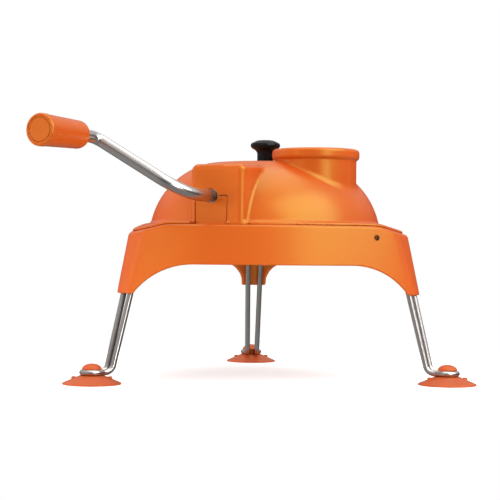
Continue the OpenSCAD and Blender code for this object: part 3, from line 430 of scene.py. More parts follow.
def make_finishes():
    """The materials of the slots that the record names."""
    c = sizes().colours
    centre = (DISC_AXIS.x, DISC_AXIS.y, 0)
    FINISHES.update({
        "orange_moulding": gloss_plastic(
            "orange moulded plastic", c.orange, 0.34, 0.02, gloss=1.0, sheen=(0.66, 1.0, 0.22)
        ),
        "cup_rubber": soft_rubber("orange-red cup rubber", c.rubber),
        "polished_wire": polished_rod("polished steel rod", c.steel),
        "turned_steel": turned_metal("turned steel", (0.52, 0.52, 0.52), 0.30, centre, 1400.0),
        "screw_steel": plain_metal("zinc plated fastener", (0.40, 0.40, 0.41), 0.34),
        # Dark brown metal, used only for the front panel screw
        "dark_brown_screw": plain_metal("dark brown screw", (0.10, 0.035, 0.014), 0.42),
        "bush_plastic": gloss_plastic("natural bearing plastic", (0.62, 0.58, 0.48), 0.48, 0.08),
        "black_plastic": gloss_plastic("black knob plastic", c.black, 0.14, 0.05, gloss=0.16),
        "insert_brass": turned_metal("turned brass", (0.60, 0.40, 0.14), 0.30, centre, 1600.0),
        "gear_metal": plain_metal("machined gear steel", (0.42, 0.42, 0.43), 0.40),
        "hub_aluminium": turned_metal("turned aluminium", (0.66, 0.66, 0.67), 0.34, centre, 1500.0),
        "disc_steel": turned_metal("brushed stainless sheet", c.sheet, 0.32, centre, 2200.0),
        "blade_steel": plain_metal("ground blade steel", (0.68, 0.68, 0.69), 0.24),
    })


def round_in(a, b, r):
    """What lies in both fields, with the edge between them rounded."""
    u = np.maximum(a + r, 0)
    v = np.maximum(b + r, 0)
    return np.minimum(np.maximum(a, b), -r) + np.sqrt(u * u + v * v)


def soft_in(a, b, k):
    """What lies in both fields, with a shallow crease between them softened."""
    near = np.maximum(k - np.abs(a - b), 0) / k
    return np.maximum(a, b) + near * near * k / 4


def round_join(a, b, r):
    """What lies in either field, with a fillet where they meet."""
    return -round_in(-a, -b, r)


def round_cut(a, b, r):
    """The first field without the second, with the new edge rounded."""
    return round_in(a, -b, r)


def turned(x, y, az):
    """Distances along a direction round the disc axis and across it."""
    c, s = math.cos(az), math.sin(az)
    return x * c + y * s, y * c - x * s


def slab(v, low, high):
    """Field between two values of one coordinate."""
    return np.maximum(low - v, v - high)


def block(u, w, z, spans, r):
    """Box between spans of three coordinates, with its edges rounded."""
    far = [slab(v, low + r, high - r) for v, (low, high) in zip((u, w, z), spans)]
    out = np.sqrt(sum(np.maximum(f, 0) ** 2 for f in far))
    return out + np.minimum(np.maximum(np.maximum(far[0], far[1]), far[2]), 0) - r


def pipe(a, b, along, r, low, high, soft):
    """Round bar of a radius between two places along its axis."""
    return round_in(np.sqrt(a * a + b * b) - r, slab(along, low, high), soft)


def corner_block(b, x, y, z, panel_in, corner_in, soft):
    """Field of the three leaning panels and the three corner facets."""
    panels = None
    for k in range(3):
        px, py = turned(x, y, k * THIRD)
        spread = b.panel_curve + (b.deck_height - z) * math.tan(b.panel_lean)
        panel = np.sqrt(px * px + (py - b.panel_curve + b.panel_mid) ** 2) - spread
        panel = panel * math.cos(b.panel_lean) + panel_in
        panels = panel if panels is None else np.maximum(panels, panel)
    for az in LEGS.values():
        out = turned(x, y, az)[0]
        facet = (out - b.corner_out) * math.cos(b.leg_lean)
        facet = facet + (z - b.deck_height) * math.sin(b.leg_lean) + corner_in
        panels = round_in(panels, facet, soft)
    return panels


def under_deck(b, x, y, z, height):
    """Field below a deck that is flat in the middle and falls towards the legs."""
    deck = z - height
    for az in (LEFT - b.fall_turn, RIGHT + b.fall_turn, REAR):
        out = turned(x, y, az)[0] - b.deck_flat
        side = (z - height) * math.cos(b.deck_fall) + out * math.sin(b.deck_fall)
        deck = soft_in(deck, side, b.deck_soften)
    return deck


# The arches cut only what lies further out than this towards their panel
ARCH_START = 60 * MM


def panel_arch(b, x, y, z, rear_side):
    """Field of the opening below one side panel."""
    bottom = b.deck_height - b.panel_depth
    opening = None
    for side in (-1, 1):
        rear = side == rear_side
        half = b.rear_arch_half if rear else b.arch_half
        r = b.rear_arch_round if rear else b.arch_round
        past = np.maximum(side * x - half, 0)
        arch = np.sqrt(past ** 2 + np.maximum(z - bottom + r, 0) ** 2) - r
        arch = np.where(side * x < 0, 1.0, arch)
        opening = arch if opening is None else np.minimum(opening, arch)
    return np.maximum(opening, y + ARCH_START)


def facet_frame(b, x, y, z, az):
    """Distances out of a corner facet, across it and up along it."""
    out, across = turned(x, y, az)
    out = out - b.corner_out
    up = z - b.deck_height
    c, s = math.cos(b.leg_lean), math.sin(b.leg_lean)
    return out * c + up * s, across, up * c - out * s


# Places of the two clamp screws down a corner facet
CLAMP_SCREWS = (-34.775 * MM, -19.775 * MM)
# Radius of a clamp screw's boss, and how far inside the facet it ends and begins
SCREW_BOSS = (3.6 * MM, -9.2 * MM, -2 * MM)
# Radii of the holes for the axle in the hub, the knob in the cover and the crank shaft
AXLE_HOLE, KNOB_HOLE, SHAFT_HOLE = 5.1 * MM, 6.56 * MM, 6.85 * MM
# Span along the crank axis that the shaft's holes are cut in
SHAFT_SPAN = (100 * MM, 200 * MM)
# A height above everything
SKY = 1


def shaft_holes(body, u, w, z, pocket, pocket_end):
    """A field without the pocket of the crank bush and the hole of the shaft."""
    up = z - CRANK_START.z
    body = round_cut(body, pipe(w, up, u, pocket, SHAFT_SPAN[0], pocket_end, 0), 0.4 * MM)
    return round_cut(body, pipe(w, up, u, SHAFT_HOLE, *SHAFT_SPAN, 0), 0.5 * MM)


def base_field(x, y, z):
    """Base moulding: hollow three-cornered shell, chamber, spider and crank tab."""
    b, c, k = sizes().base, sizes().cover, sizes().crank
    r = np.sqrt(x * x + y * y)
    outer = round_in(
        corner_block(b, x, y, z, 0, 0, b.corner_round),
        under_deck(b, x, y, z, b.deck_height), b.edge_round,
    )
    inner = round_in(
        corner_block(b, x, y, z, b.wall, b.wall, 1.5 * MM),
        under_deck(b, x, y, z, b.deck_height - b.wall), 1.5 * MM,
    )
    shell = np.maximum(outer, -inner)
    shell = round_in(shell, b.deck_height - b.leg_depth - z, 1.2 * MM)
    rear = np.maximum(b.corner_out / 2 - y, z - b.deck_height + b.rear_leg_depth)
    shell = round_cut(shell, rear, 1.2 * MM)
    for turn, rear_side in ((0, 0), (THIRD, 1), (-THIRD, -1)):
        px, py = turned(x, y, turn)
        shell = round_cut(shell, panel_arch(b, px, py, z, rear_side), 1.2 * MM)
    shell = round_in(shell, b.chamber - r, 1.0 * MM)

    low = b.deck_height - b.chamber_depth
    ring_top = b.deck_height - 1.2 * MM
    ring = round_in(slab(r, b.chamber, b.chamber + b.wall), slab(z, low, ring_top), 0.9 * MM)
    shell = round_join(shell, ring, 1.5 * MM)
    hub_low = low - (b.hub_height - b.arm_height) / 2
    spider = pipe(x, y, z, b.hub, hub_low, hub_low + b.hub_height, 1.4 * MM)
    arm_end = b.chamber + 2 * MM
    half = b.arm_width / 2
    for az in LEGS.values():
        u, w = turned(x, y, az)
        arm = block(u, w, z, ((0, arm_end), (-half, half), (low, low + b.arm_height)), 1.5 * MM)
        spider = round_join(spider, arm, 2.5 * MM)
    shell = round_join(shell, spider, 2 * MM)
    shell = round_cut(shell, pipe(x, y, z, AXLE_HOLE, 0, SKY, 0), 0.6 * MM)

    u, w = turned(x, y, k.direction)
    half = b.tab_width / 2
    tab_root = b.deck_height - 4 * MM
    tab_spans = ((c.box_face - b.tab_depth, c.box_face), (-half, half), (tab_root, CRANK_START.z))
    shell = round_join(shell, block(u, w, z, tab_spans, 0.8 * MM), 1.5 * MM)
    shell = shaft_holes(shell, u, w, z, 8.6 * MM, c.box_face - 2.5 * MM)
    boss_r, boss_in, boss_out = SCREW_BOSS
    for az in LEGS.values():
        out, across, along = facet_frame(b, x, y, z, az)
        for place in CLAMP_SCREWS:
            boss = pipe(across, along - place, out, boss_r, boss_in, boss_out, 0.5 * MM)
            shell = round_join(shell, boss, 0.8 * MM)
    return shell


def dome_field(c, r, z, inset, top):
    """Field of the dome set in from its outside, under a flat top."""
    past = np.maximum(r - c.dome_ring, 0)
    side = np.sqrt(past * past + (z - c.dome_ring_height) ** 2) - c.dome_curve + inset
    return soft_in(side, z - top, c.dome_soften)


def cover_field(x, y, z):
    """Cover: hollow dome on a lip, gear box, hopper with its rim, and the boss for the knob."""
    b, c, k = sizes().base, sizes().cover, sizes().crank
    r = np.sqrt(x * x + y * y)
    u, w = turned(x, y, k.direction)
    hx, hy = x - (HOPPER.x - DISC_AXIS.x), y - (HOPPER.y - DISC_AXIS.y)
    hopper_r = np.sqrt(hx * hx + hy * hy)
    deck = b.deck_height
    slip = 0.4 * MM
    hidden = 20 * MM
    lip = round_in(
        corner_block(b, x, y, z, c.lip_inset, c.lip_corner_inset, 3 * MM),
        under_deck(b, x, y, z, deck + c.lip), c.lip_round,
    )
    lip = round_cut(lip, under_deck(b, x, y, z, deck + c.lip_gap), 0.3 * MM)
    dome = round_in(dome_field(c, r, z, 0, c.dome_top), deck + c.lip_gap - z, 0.3 * MM)
    half = c.box_width / 2
    across = w - c.box_side
    box_spans = ((-hidden, c.box_face), (-half, half), (deck - hidden, c.box_top))
    box = block(u, across, z, box_spans, c.box_round)
    box = round_in(box, deck + c.lip_gap - z, 0.3 * MM)
    body = round_join(dome, box, c.box_fillet)
    outside = c.hopper + c.hopper_wall
    tube_low, tube_top = deck + 5 * MM, c.hopper_top - c.rim_height / 2
    tube = pipe(hx, hy, z, outside, tube_low, tube_top, 0.5 * MM)
    body = round_join(body, tube, c.hopper_fillet)
    body = round_join(body, lip, c.foot_fillet)
    hollow = dome_field(c, r, z, c.wall, c.dome_top - c.wall)
    room_spans = ((0, c.box_face - c.wall), (c.wall - half, half - c.wall), (0, c.box_top - c.wall))
    room = block(u, across, z, room_spans, c.box_round - c.wall)
    body = round_cut(body, round_join(hollow, room, c.box_fillet + c.wall), 0.8 * MM)

    boss = pipe(x, y, z, c.boss, c.dome_top - c.boss_depth, c.dome_top - 1 * MM, 0.8 * MM)
    body = round_join(body, boss, 1.5 * MM)
    tab_back = c.box_face - b.tab_depth
    tab_top = CRANK_START.z + slip
    saddle_half = 13.5 * MM
    saddle_spans = (
        (tab_back, c.box_face - 1 * MM), (-saddle_half, saddle_half), (tab_top, c.box_top - 1.5 * MM)
    )
    body = round_join(body, block(u, w, z, saddle_spans, 0.8 * MM), 1.2 * MM)

    throat = pipe(hx, hy, z, outside, c.hopper_low, c.hopper_top - 2 * MM, 1.0 * MM)
    body = np.minimum(body, throat)
    bead_in = c.hopper - 8 * MM
    bead_spans = (
        (bead_in, outside + c.rim_out), (-1, 1), (c.hopper_top - c.rim_height, c.hopper_top)
    )
    bead = block(hopper_r, hopper_r * 0, z, bead_spans, c.rim_round)
    body = round_join(body, bead, 0.8 * MM)
    body = round_in(body, c.hopper - hopper_r, 1.6 * MM)
    body = round_cut(body, pipe(x, y, z, KNOB_HOLE, 0, SKY, 0), 0.6 * MM)
    slot_half = b.tab_width / 2 + slip
    slot_spans = ((tab_back - slip, 1), (-slot_half, slot_half), (0, tab_top))
    body = round_cut(body, block(u, w, z, slot_spans, 0.5 * MM), 0.5 * MM)
    return shaft_holes(body, u, w, z, 8.9 * MM, c.box_face - 2.1 * MM)


def cup_field(x, y, z):
    """Suction cup: thin skirt over its hollow, shoulder, neck and rounded head, two pull tabs."""
    f = sizes().feet
    r = np.sqrt(x * x + y * y)
    rim, shoulder, seal = 1.4 * MM, 12.5 * MM, f.cup - 3 * MM
    t = np.clip((f.cup - r) / (f.cup - shoulder), 0, 1)
    top = rim + (f.cup_shoulder - rim) * t
    skirt = round_in((z - top) * 0.85, r - f.cup, 0.6 * MM)
    skirt = round_in(skirt, -z, 0.3 * MM)
    s = np.clip(r / seal, 0, 1)
    hollow = (z - f.cup_hollow * (1 - s * s)) * 0.9
    skirt = round_cut(skirt, hollow + np.where(r > seal, 1.0, 0.0) * MM, 0.3 * MM)
    neck_r, neck_low, neck_top = 6.65 * MM, f.cup_hollow + 2 * MM, 17 * MM
    neck = pipe(x, y, z, neck_r, neck_low, neck_top, 0.2 * MM)
    body = round_join(skirt, neck, 0.6 * MM)
    seat = f.eye_height + f.wire + 0.1 * MM
    rise = f.cup_head_top - seat
    head = np.sqrt((r / f.cup_head) ** 2 + (np.maximum(z - seat, 0) / rise) ** 2)
    head = round_in((head - 1) * 5.5 * MM, seat - z, 0.4 * MM)
    body = round_join(body, head, 0.6 * MM)
    half, thick, tab_rise = 2.2 * MM, 1.25 * MM, (4 * MM, 8 * MM)
    for side in (-1, 1):
        tab_spans = ((f.tab_place - half, f.tab_place + half), (-thick, thick), tab_rise)
        body = round_join(body, block(side * x, y, z, tab_spans, 0.6 * MM), 0.6 * MM)
    return body


# Steps that the slope of a field is measured over, for moving points and for normals
MOVE_PROBE, NORMAL_PROBE = 0.02 * MM, 0.05 * MM


def slope(field, p, step):
    """Value of a field and its slope at points."""
    value = field(p[:, 0], p[:, 1], p[:, 2])
    rise = np.empty_like(p)
    for axis in range(3):
        shift = np.zeros(3)
        shift[axis] = step
        a, b = p + shift, p - shift
        rise[:, axis] = (field(a[:, 0], a[:, 1], a[:, 2]) - field(b[:, 0], b[:, 1], b[:, 2])) / (2 * step)
    return value, rise


def settle(field, p, rounds, reach):
    """Moves points onto the surface of a field."""
    for _ in range(rounds):
        value, rise = slope(field, p, MOVE_PROBE)
        move = value[:, None] * rise / np.maximum((rise * rise).sum(1), 0.25)[:, None]
        far = np.linalg.norm(move, axis=1)[:, None]
        p = p - move * np.minimum(1, reach / np.maximum(far, 1e-12))
    return p


# Layers of a field that are worked out at a time
LAYERS = 16


def surface(field, low, high, step):
    """Points and four-sided faces of a field's surface, one point in each cell that it crosses."""
    low, high = np.array(low), np.array(high)
    count = np.ceil((high - low) / step).astype(int) + 1
    x, y, z = ((low[k] + step * np.arange(count[k])).astype(np.float32) for k in range(3))
    value = np.empty(count, np.float32)
    for start in range(0, count[2], LAYERS):
        part = slice(start, start + LAYERS)
        value[:, :, part] = field(x[:, None, None], y[None, :, None], z[None, None, part])
    inside = value < 0
    corners = [(i, j, k) for i in (0, 1) for j in (0, 1) for k in (0, 1)]
    a, b, c = count - 1
    held = sum(inside[i:i + a, j:j + b, k:k + c].astype(np.uint8) for i, j, k in corners)
    cells = np.argwhere((held > 0) & (held < 8))
    at = {}
    for corner in corners:
        n = cells + corner
        at[corner] = value[n[:, 0], n[:, 1], n[:, 2]].astype(float)
    total = np.zeros((len(cells), 3))
    crossed = np.zeros(len(cells))
    for first in corners:
        for axis in range(3):
            if first[axis]:
                continue
            last = tuple(1 if k == axis else first[k] for k in range(3))
            cut = (at[first] < 0) != (at[last] < 0)
            share = np.where(cut, at[first] / np.where(cut, at[first] - at[last], 1), 0)
            spot = np.array(first, float)[None, :].repeat(len(cells), 0)
            spot[:, axis] = share
            total += np.where(cut[:, None], spot, 0)
            crossed += cut
    points = low + step * (cells + total / crossed[:, None])
    number = np.full((a, b, c), -1, np.int64)
    number[cells[:, 0], cells[:, 1], cells[:, 2]] = np.arange(len(cells))
    faces = []
    for axis in range(3):
        o1, o2 = [k for k in range(3) if k != axis]
        ahead = [slice(None)] * 3
        ahead[axis] = slice(1, None)
        behind = [slice(None)] * 3
        behind[axis] = slice(None, -1)
        start_in = inside[tuple(behind)]
        change = start_in != inside[tuple(ahead)]
        edge = np.argwhere(change)
        across = edge[:, [o1, o2]]
        edge = edge[((across > 0) & (across < count[[o1, o2]] - 1)).all(1)]
        ring = []
        for d1, d2 in ((-1, -1), (0, -1), (0, 0), (-1, 0)):
            n = edge.copy()
            n[:, o1] += d1
            n[:, o2] += d2
            ring.append(number[n[:, 0], n[:, 1], n[:, 2]])
        quad = np.stack(ring, 1)
        leaves = start_in[edge[:, 0], edge[:, 1], edge[:, 2]]
        flip = leaves if axis == 1 else ~leaves
        quad[flip] = quad[flip][:, ::-1]
        faces.append(quad)
    return points, np.concatenate(faces)


def mesh_of(name, points, faces):
    """A smooth mesh of points and faces."""
    mesh = bpy.data.meshes.new(name)
    mesh.from_pydata([tuple(p) for p in points], [], [tuple(f) for f in faces])
    mesh.validate()
    mesh.shade_smooth()
    return mesh


def piece(name, mesh, body, slot, nodes, look=None):
    """An object for a finished mesh, on its body and with its slot's finish or a look of its own."""
    new = bpy.data.objects.new(name, mesh)
    bpy.context.scene.collection.objects.link(new)
    mesh.materials.clear()
    mesh.materials.append(FINISHES[look or slot])
    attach(new, body)
    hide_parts(*nodes)
    return new


# Most triangles of a moulding
FACE_LIMIT = 190000


def moulded(name, field, low, high, step, centre):
    """A moulded mesh: the field's surface, thinned where it is flat, with the field's own normals."""
    points, faces = surface(field, low, high, step)
    points = settle(field, points, 3, step / 2)
    mesh = mesh_of(name, points, faces)
    if len(mesh.polygons) * 2 > FACE_LIMIT:
        rough = bpy.data.objects.new(name + "_rough", mesh)
        bpy.context.scene.collection.objects.link(rough)
        thin = rough.modifiers.new("thin", "DECIMATE")
        thin.ratio = FACE_LIMIT / (len(mesh.polygons) * 2)
        graph = bpy.context.evaluated_depsgraph_get()
        thinned = bpy.data.meshes.new_from_object(rough.evaluated_get(graph))
        bpy.data.objects.remove(rough)
        bpy.data.meshes.remove(mesh)
        mesh = thinned
        mesh.name = name
    spots = np.empty(len(mesh.vertices) * 3)
    mesh.vertices.foreach_get("co", spots)
    spots = settle(field, spots.reshape(-1, 3), 2, step / 3)
    rise = slope(field, spots, NORMAL_PROBE)[1]
    rise = rise / np.maximum(np.linalg.norm(rise, axis=1), 1e-9)[:, None]
    mesh.vertices.foreach_set("co", (spots + np.array(centre)).ravel())
    mesh.shade_smooth()
    mesh.normals_split_custom_set_from_vertices([tuple(n) for n in rise])
    mesh.update()
    return mesh


def lathe(profile, sides):
    """Points and faces of a profile of (radius, height) turned about the Z axis."""
    points, faces, rows = [], [], []
    for r, z in profile:
        if r < 1e-9:
            rows.append([len(points)] * sides)
            points.append((0.0, 0.0, z))
        else:
            rows.append([len(points) + j for j in range(sides)])
            for j in range(sides):
                a = 2 * math.pi * j / sides
                points.append((r * math.cos(a), r * math.sin(a), z))
    for low, high in zip(rows, rows[1:]):
        for j in range(sides):
            n = (j + 1) % sides
            ring = [low[j], low[n], high[n], high[j]]
            face = [v for i, v in enumerate(ring) if v != ring[i - 1]]
            if len(face) > 2:
                faces.append(face)
    return points, faces


def rounded(corners, steps=6):
    """A profile whose corners (radius, height, rounding) are turned to arcs."""
    out = []
    for i, (r, z, soft) in enumerate(corners):
        here = np.array((r, z))
        if soft <= 0 or i in (0, len(corners) - 1):
            out.append((r, z))
            continue
        back = np.array(corners[i - 1][:2]) - here
        on = np.array(corners[i + 1][:2]) - here
        lb, lo = np.linalg.norm(back), np.linalg.norm(on)
        turn = math.acos(max(-1, min(1, back @ on / (lb * lo))))
        reach = min(soft / math.tan(turn / 2), lb * 0.49, lo * 0.49)
        radius = reach * math.tan(turn / 2)
        middle = back / lb + on / lo
        middle = here + middle / np.linalg.norm(middle) * radius / math.sin(turn / 2)
        first, last = here + back / lb * reach - middle, here + on / lo * reach - middle
        a0 = math.atan2(first[1], first[0])
        da = (math.atan2(last[1], last[0]) - a0 + math.pi) % (2 * math.pi) - math.pi
        for k in range(steps + 1):
            a = a0 + da * k / steps
            out.append((middle[0] + radius * math.cos(a), middle[1] + radius * math.sin(a)))
    return out


def turned_mesh(name, profile, sides, place):
    """A turned mesh put in its place, with normals outward and hard edges kept."""
    points, faces = lathe(profile, sides)
    mesh = mesh_of(name, points, faces)
    mesh.transform(place)
    outward(mesh)
    mesh.set_sharp_from_angle(angle=TURNED_EDGE)
    return mesh


def outward(mesh, merge=1e-7):
    """Merges points that lie together, where a distance is given, and turns all faces outwards."""
    work = bmesh.new()
    work.from_mesh(mesh)
    if merge:
        bmesh.ops.remove_doubles(work, verts=work.verts, dist=merge)
    bmesh.ops.recalc_face_normals(work, faces=work.faces)
    work.to_mesh(mesh)
    work.free()
    mesh.shade_smooth()


def arc(centre, r, start, end, steps, ax, ay):
    """Points of an arc in the plane of two directions."""
    ax, ay, centre = Vector(ax), Vector(ay), Vector(centre)
    out = []
    for k in range(steps + 1):
        a = start + (end - start) * k / steps
        out.append(centre + r * (math.cos(a) * ax + math.sin(a) * ay))
    return out


# Points of a path that lie closer than this are one place
SAME_PLACE = 1e-6


def swept_bar(name, path, radii, sides, up, place):
    """Round bar along a path that lies in one plane, with a radius and its run at each point."""
    points, rows, along, runs = [], [], [0.0], []
    for a, b in zip(path, path[1:]):
        along.append(along[-1] + (b - a).length)
    last = len(path) - 1
    for k, p in enumerate(path):
        before = next((q for q in path[:k][::-1] if (q - p).length > SAME_PLACE), p)
        after = next((q for q in path[k + 1:] if (q - p).length > SAME_PLACE), p)
        run = (after - before).normalized()
        side = run.cross(up).normalized()
        rows.append(len(points))
        for j in range(sides):
            a = 2 * math.pi * j / sides
            points.append(p + radii[k] * (math.cos(a) * side + math.sin(a) * up))
            runs += [along[k], radii[k] * math.cos(a), radii[k] * math.sin(a)]
    faces = []
    for k in range(last):
        for j in range(sides):
            n = (j + 1) % sides
            faces.append((rows[k] + j, rows[k] + n, rows[k + 1] + n, rows[k + 1] + j))
    faces.append(tuple(range(sides))[::-1])
    faces.append(tuple(rows[last] + j for j in range(sides)))
    mesh = bpy.data.meshes.new(name)
    mesh.from_pydata([tuple(p) for p in points], [], faces)
    mesh.attributes.new(RUN, "FLOAT_VECTOR", "POINT").data.foreach_set("vector", runs)
    mesh.transform(place)
    outward(mesh, merge=0)
    mesh.set_sharp_from_angle(angle=CRANK_EDGE)
    return mesh


class NodeTree:
    """A small geometry node tree with named inputs."""

    def __init__(self, name, inputs):
        self.tree = bpy.data.node_groups.new(name, "GeometryNodeTree")
        for label, kind in inputs:
            self.tree.interface.new_socket(label, in_out="INPUT", socket_type=kind)
        self.tree.interface.new_socket("Geometry", in_out="OUTPUT", socket_type="NodeSocketGeometry")
        self.start = self.tree.nodes.new("NodeGroupInput")
        self.end = self.tree.nodes.new("NodeGroupOutput")

    def given(self, label):
        """A named input."""
        return self.start.outputs[label]

    def add(self, kind, settings, sockets, output=0):
        """Adds any node, sets its settings, then its sockets, and returns one output."""
        new = self.tree.nodes.new(kind)
        for name, value in settings.items():
            setattr(new, name, value)
        for key, value in sockets.items():
            if isinstance(value, bpy.types.NodeSocket):
                self.tree.links.new(value, new.inputs[key])
            else:
                new.inputs[key].default_value = value
        return new.outputs[output]

    def kept(self, shape, kind, value):
        """Geometry that carries a value on its points, and that value."""
        new = self.tree.nodes.new("GeometryNodeCaptureAttribute")
        new.capture_items.new(kind, "Kept")
        self.tree.links.new(shape, new.inputs[0])
        self.tree.links.new(value, new.inputs[1])
        return new.outputs[0], new.outputs[1]

    def finish(self, shape):
        """Ends the tree in real geometry with its material."""
        real = self.add("GeometryNodeRealizeInstances", {}, {"Geometry": shape})
        smooth = self.add("GeometryNodeSetShadeSmooth", {}, {"Geometry": real})
        painted = self.add(
            "GeometryNodeSetMaterial", {}, {"Geometry": smooth, "Material": self.given("Material")}
        )
        self.tree.links.new(painted, self.end.inputs[0])
        return self.tree

    def run(self, name, mesh, values):
        """Runs the tree on a mesh and returns the plain mesh that it makes."""
        holder = bpy.data.objects.new(name, mesh)
        bpy.context.scene.collection.objects.link(holder)
        modifier = holder.modifiers.new("shape", "NODES")
        modifier.node_group = self.tree
        for item in self.tree.interface.items_tree:
            if item.in_out == "INPUT" and item.name in values:
                modifier[item.identifier] = values[item.name]
        graph = bpy.context.evaluated_depsgraph_get()
        made = bpy.data.meshes.new_from_object(holder.evaluated_get(graph))
        made.name = name
        holder.modifiers.remove(modifier)
        bpy.data.objects.remove(holder)
        return made


def bent_wire_tree():
    """Sweeps a round wire along a line of edges and stores its run for the drawn lines."""
    maker = NodeTree("Bent wire", (
        ("Path", "NodeSocketGeometry"), ("Wire radius", "NodeSocketFloat"),
        ("Wire sides", "NodeSocketInt"), ("Material", "NodeSocketMaterial"),
    ))
    line = maker.add("GeometryNodeMeshToCurve", {}, {"Mesh": maker.given("Path")})
    ring = maker.add(
        "GeometryNodeCurvePrimitiveCircle", {},
        {"Resolution": maker.given("Wire sides"), "Radius": maker.given("Wire radius")},
    )
    length_on = maker.add("GeometryNodeSplineParameter", {}, {}, output="Length")
    line, length_on = maker.kept(line, "FLOAT", length_on)
    ring, spot = maker.kept(ring, "VECTOR", maker.add("GeometryNodeInputPosition", {}, {}))
    wire = maker.add(
        "GeometryNodeCurveToMesh", {}, {"Curve": line, "Profile Curve": ring, "Fill Caps": True}
    )
    parts = maker.add("ShaderNodeSeparateXYZ", {}, {"Vector": spot}).node.outputs
    run = maker.add("ShaderNodeCombineXYZ", {}, {"X": length_on, "Y": parts["X"], "Z": parts["Y"]})
    wire = maker.add(
        "GeometryNodeStoreNamedAttribute", {"data_type": "FLOAT_VECTOR", "domain": "POINT"},
        {"Geometry": wire, "Name": RUN, "Value": run},
    )
    maker.finish(wire)
    return maker


def fastener_tree():
    """Places one fastener at each point, turned along the point's own direction."""
    maker = NodeTree("Placed fasteners", (
        ("Places", "NodeSocketGeometry"), ("Fastener", "NodeSocketObject"),
        ("Material", "NodeSocketMaterial"),
    ))
    shape = maker.add("GeometryNodeObjectInfo", {}, {"Object": maker.given("Fastener")}, output="Geometry")
    along = maker.add("GeometryNodeInputNamedAttribute", {"data_type": "FLOAT_VECTOR"}, {"Name": "along"})
    turn = maker.add("FunctionNodeAlignRotationToVector", {"axis": "Z"}, {"Vector": along})
    placed = maker.add(
        "GeometryNodeInstanceOnPoints", {},
        {"Points": maker.given("Places"), "Instance": shape, "Rotation": turn},
    )
    maker.finish(placed)
    return maker


HEAD_SIDES = 24


def place_fasteners(name, places, profile, socket, body, node, look="screw_steel"):
    """Fasteners of one kind: a turned head and shank, with a six-sided socket where one is given."""
    points, faces = lathe(profile, HEAD_SIDES)
    if socket:
        size, depth = socket
        top = len(points) - HEAD_SIDES
        rim, floor = top + HEAD_SIDES, top + 2 * HEAD_SIDES
        z = points[top][2]
        ring = []
        for j in range(HEAD_SIDES):
            a = 2 * math.pi * j / HEAD_SIDES
            reach = size * math.cos(math.pi / 6) / math.cos((a % (math.pi / 3)) - math.pi / 6)
            ring.append((reach * math.cos(a), reach * math.sin(a)))
        points += [(x, y, z) for x, y in ring] + [(x, y, z - depth) for x, y in ring]
        for j in range(HEAD_SIDES):
            n = (j + 1) % HEAD_SIDES
            faces.append((top + j, top + n, rim + n, rim + j))
            faces.append((rim + j, rim + n, floor + n, floor + j))
        faces.append(tuple(range(floor, floor + HEAD_SIDES)))
    mesh = mesh_of(name + "_one", points, faces)
    outward(mesh)
    mesh.set_sharp_from_angle(angle=TURNED_EDGE)
    one = bpy.data.objects.new(name + "_one", mesh)
    bpy.context.scene.collection.objects.link(one)
    dots = bpy.data.meshes.new(name + "_places")
    dots.from_pydata([tuple(p) for p, _ in places], [], [])
    store = dots.attributes.new("along", "FLOAT_VECTOR", "POINT")
    store.data.foreach_set("vector", [v for _, d in places for v in d])
    made = fastener_tree().run(name, dots, {"Fastener": one, "Material": FINISHES[look]})
    bpy.data.objects.remove(one)
    made.set_sharp_from_angle(angle=TURNED_EDGE)
    return piece(name, made, body, "screw_steel", [node], look)


# How far the space that a moulding is worked out in reaches past its node's box
MOULD_GAP = 4 * MM


def body_moulding(name, field, box, body, node):
    """Makes an orange moulding about the disc axis from its field."""
    low, high = box
    centre = (DISC_AXIS.x, DISC_AXIS.y, 0)
    start = [edge - middle - MOULD_GAP for edge, middle in zip(low, centre)]
    end = [edge - middle + MOULD_GAP for edge, middle in zip(high, centre)]
    mesh = moulded(name, field, start, end, sizes().base.mould_step, centre)
    piece(name, mesh, body, "orange_moulding", [node])


class MakerOperator:
    """What the operators share."""

    bl_options = {"REGISTER", "UNDO"}


class CUTTER_OT_base(MakerOperator, bpy.types.Operator):
    """Makes the base moulding with its legs, chamber and spider."""

    bl_idname = "cutter.base"
    bl_label = "Base moulding"

    def execute(self, context):
        body_moulding("base_moulding", base_field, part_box("base_frame"), "stand", "base_frame")
        return {"FINISHED"}


class CUTTER_OT_cover(MakerOperator, bpy.types.Operator):
    """Makes the domed cover with its hopper and gear box."""

    bl_idname = "cutter.cover"
    bl_label = "Cover"

    def execute(self, context):
        body_moulding("cover_moulding", cover_field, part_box("cover"), "lid", "cover")
        return {"FINISHED"}


def crank_place():
    """Frame of the crank arm: x along the crank axis, y towards the grip."""
    k = sizes().crank
    return (
        Matrix.Translation(CRANK_START)
        @ Matrix.Rotation(k.direction, 4, "Z")
        @ Matrix.Rotation(math.pi - k.rest, 4, "X")
    )


def crank_stations():
    """Distances along the crank axis: two bends, the rod's shoulder, the grip's two ends."""
    k, c = sizes().crank, sizes().cover
    bend = c.box_face + k.shaft_out
    both = k.shaft_bend + k.grip_bend
    arm = (k.arm - both * (1 - math.cos(k.arm_angle))) / math.sin(k.arm_angle)
    second = bend + both * math.sin(k.arm_angle) + arm * math.cos(k.arm_angle)
    seat = second + k.grip_stand
    grip = seat + 0.4 * MM
    return bend, second, seat, grip, grip + k.grip_length


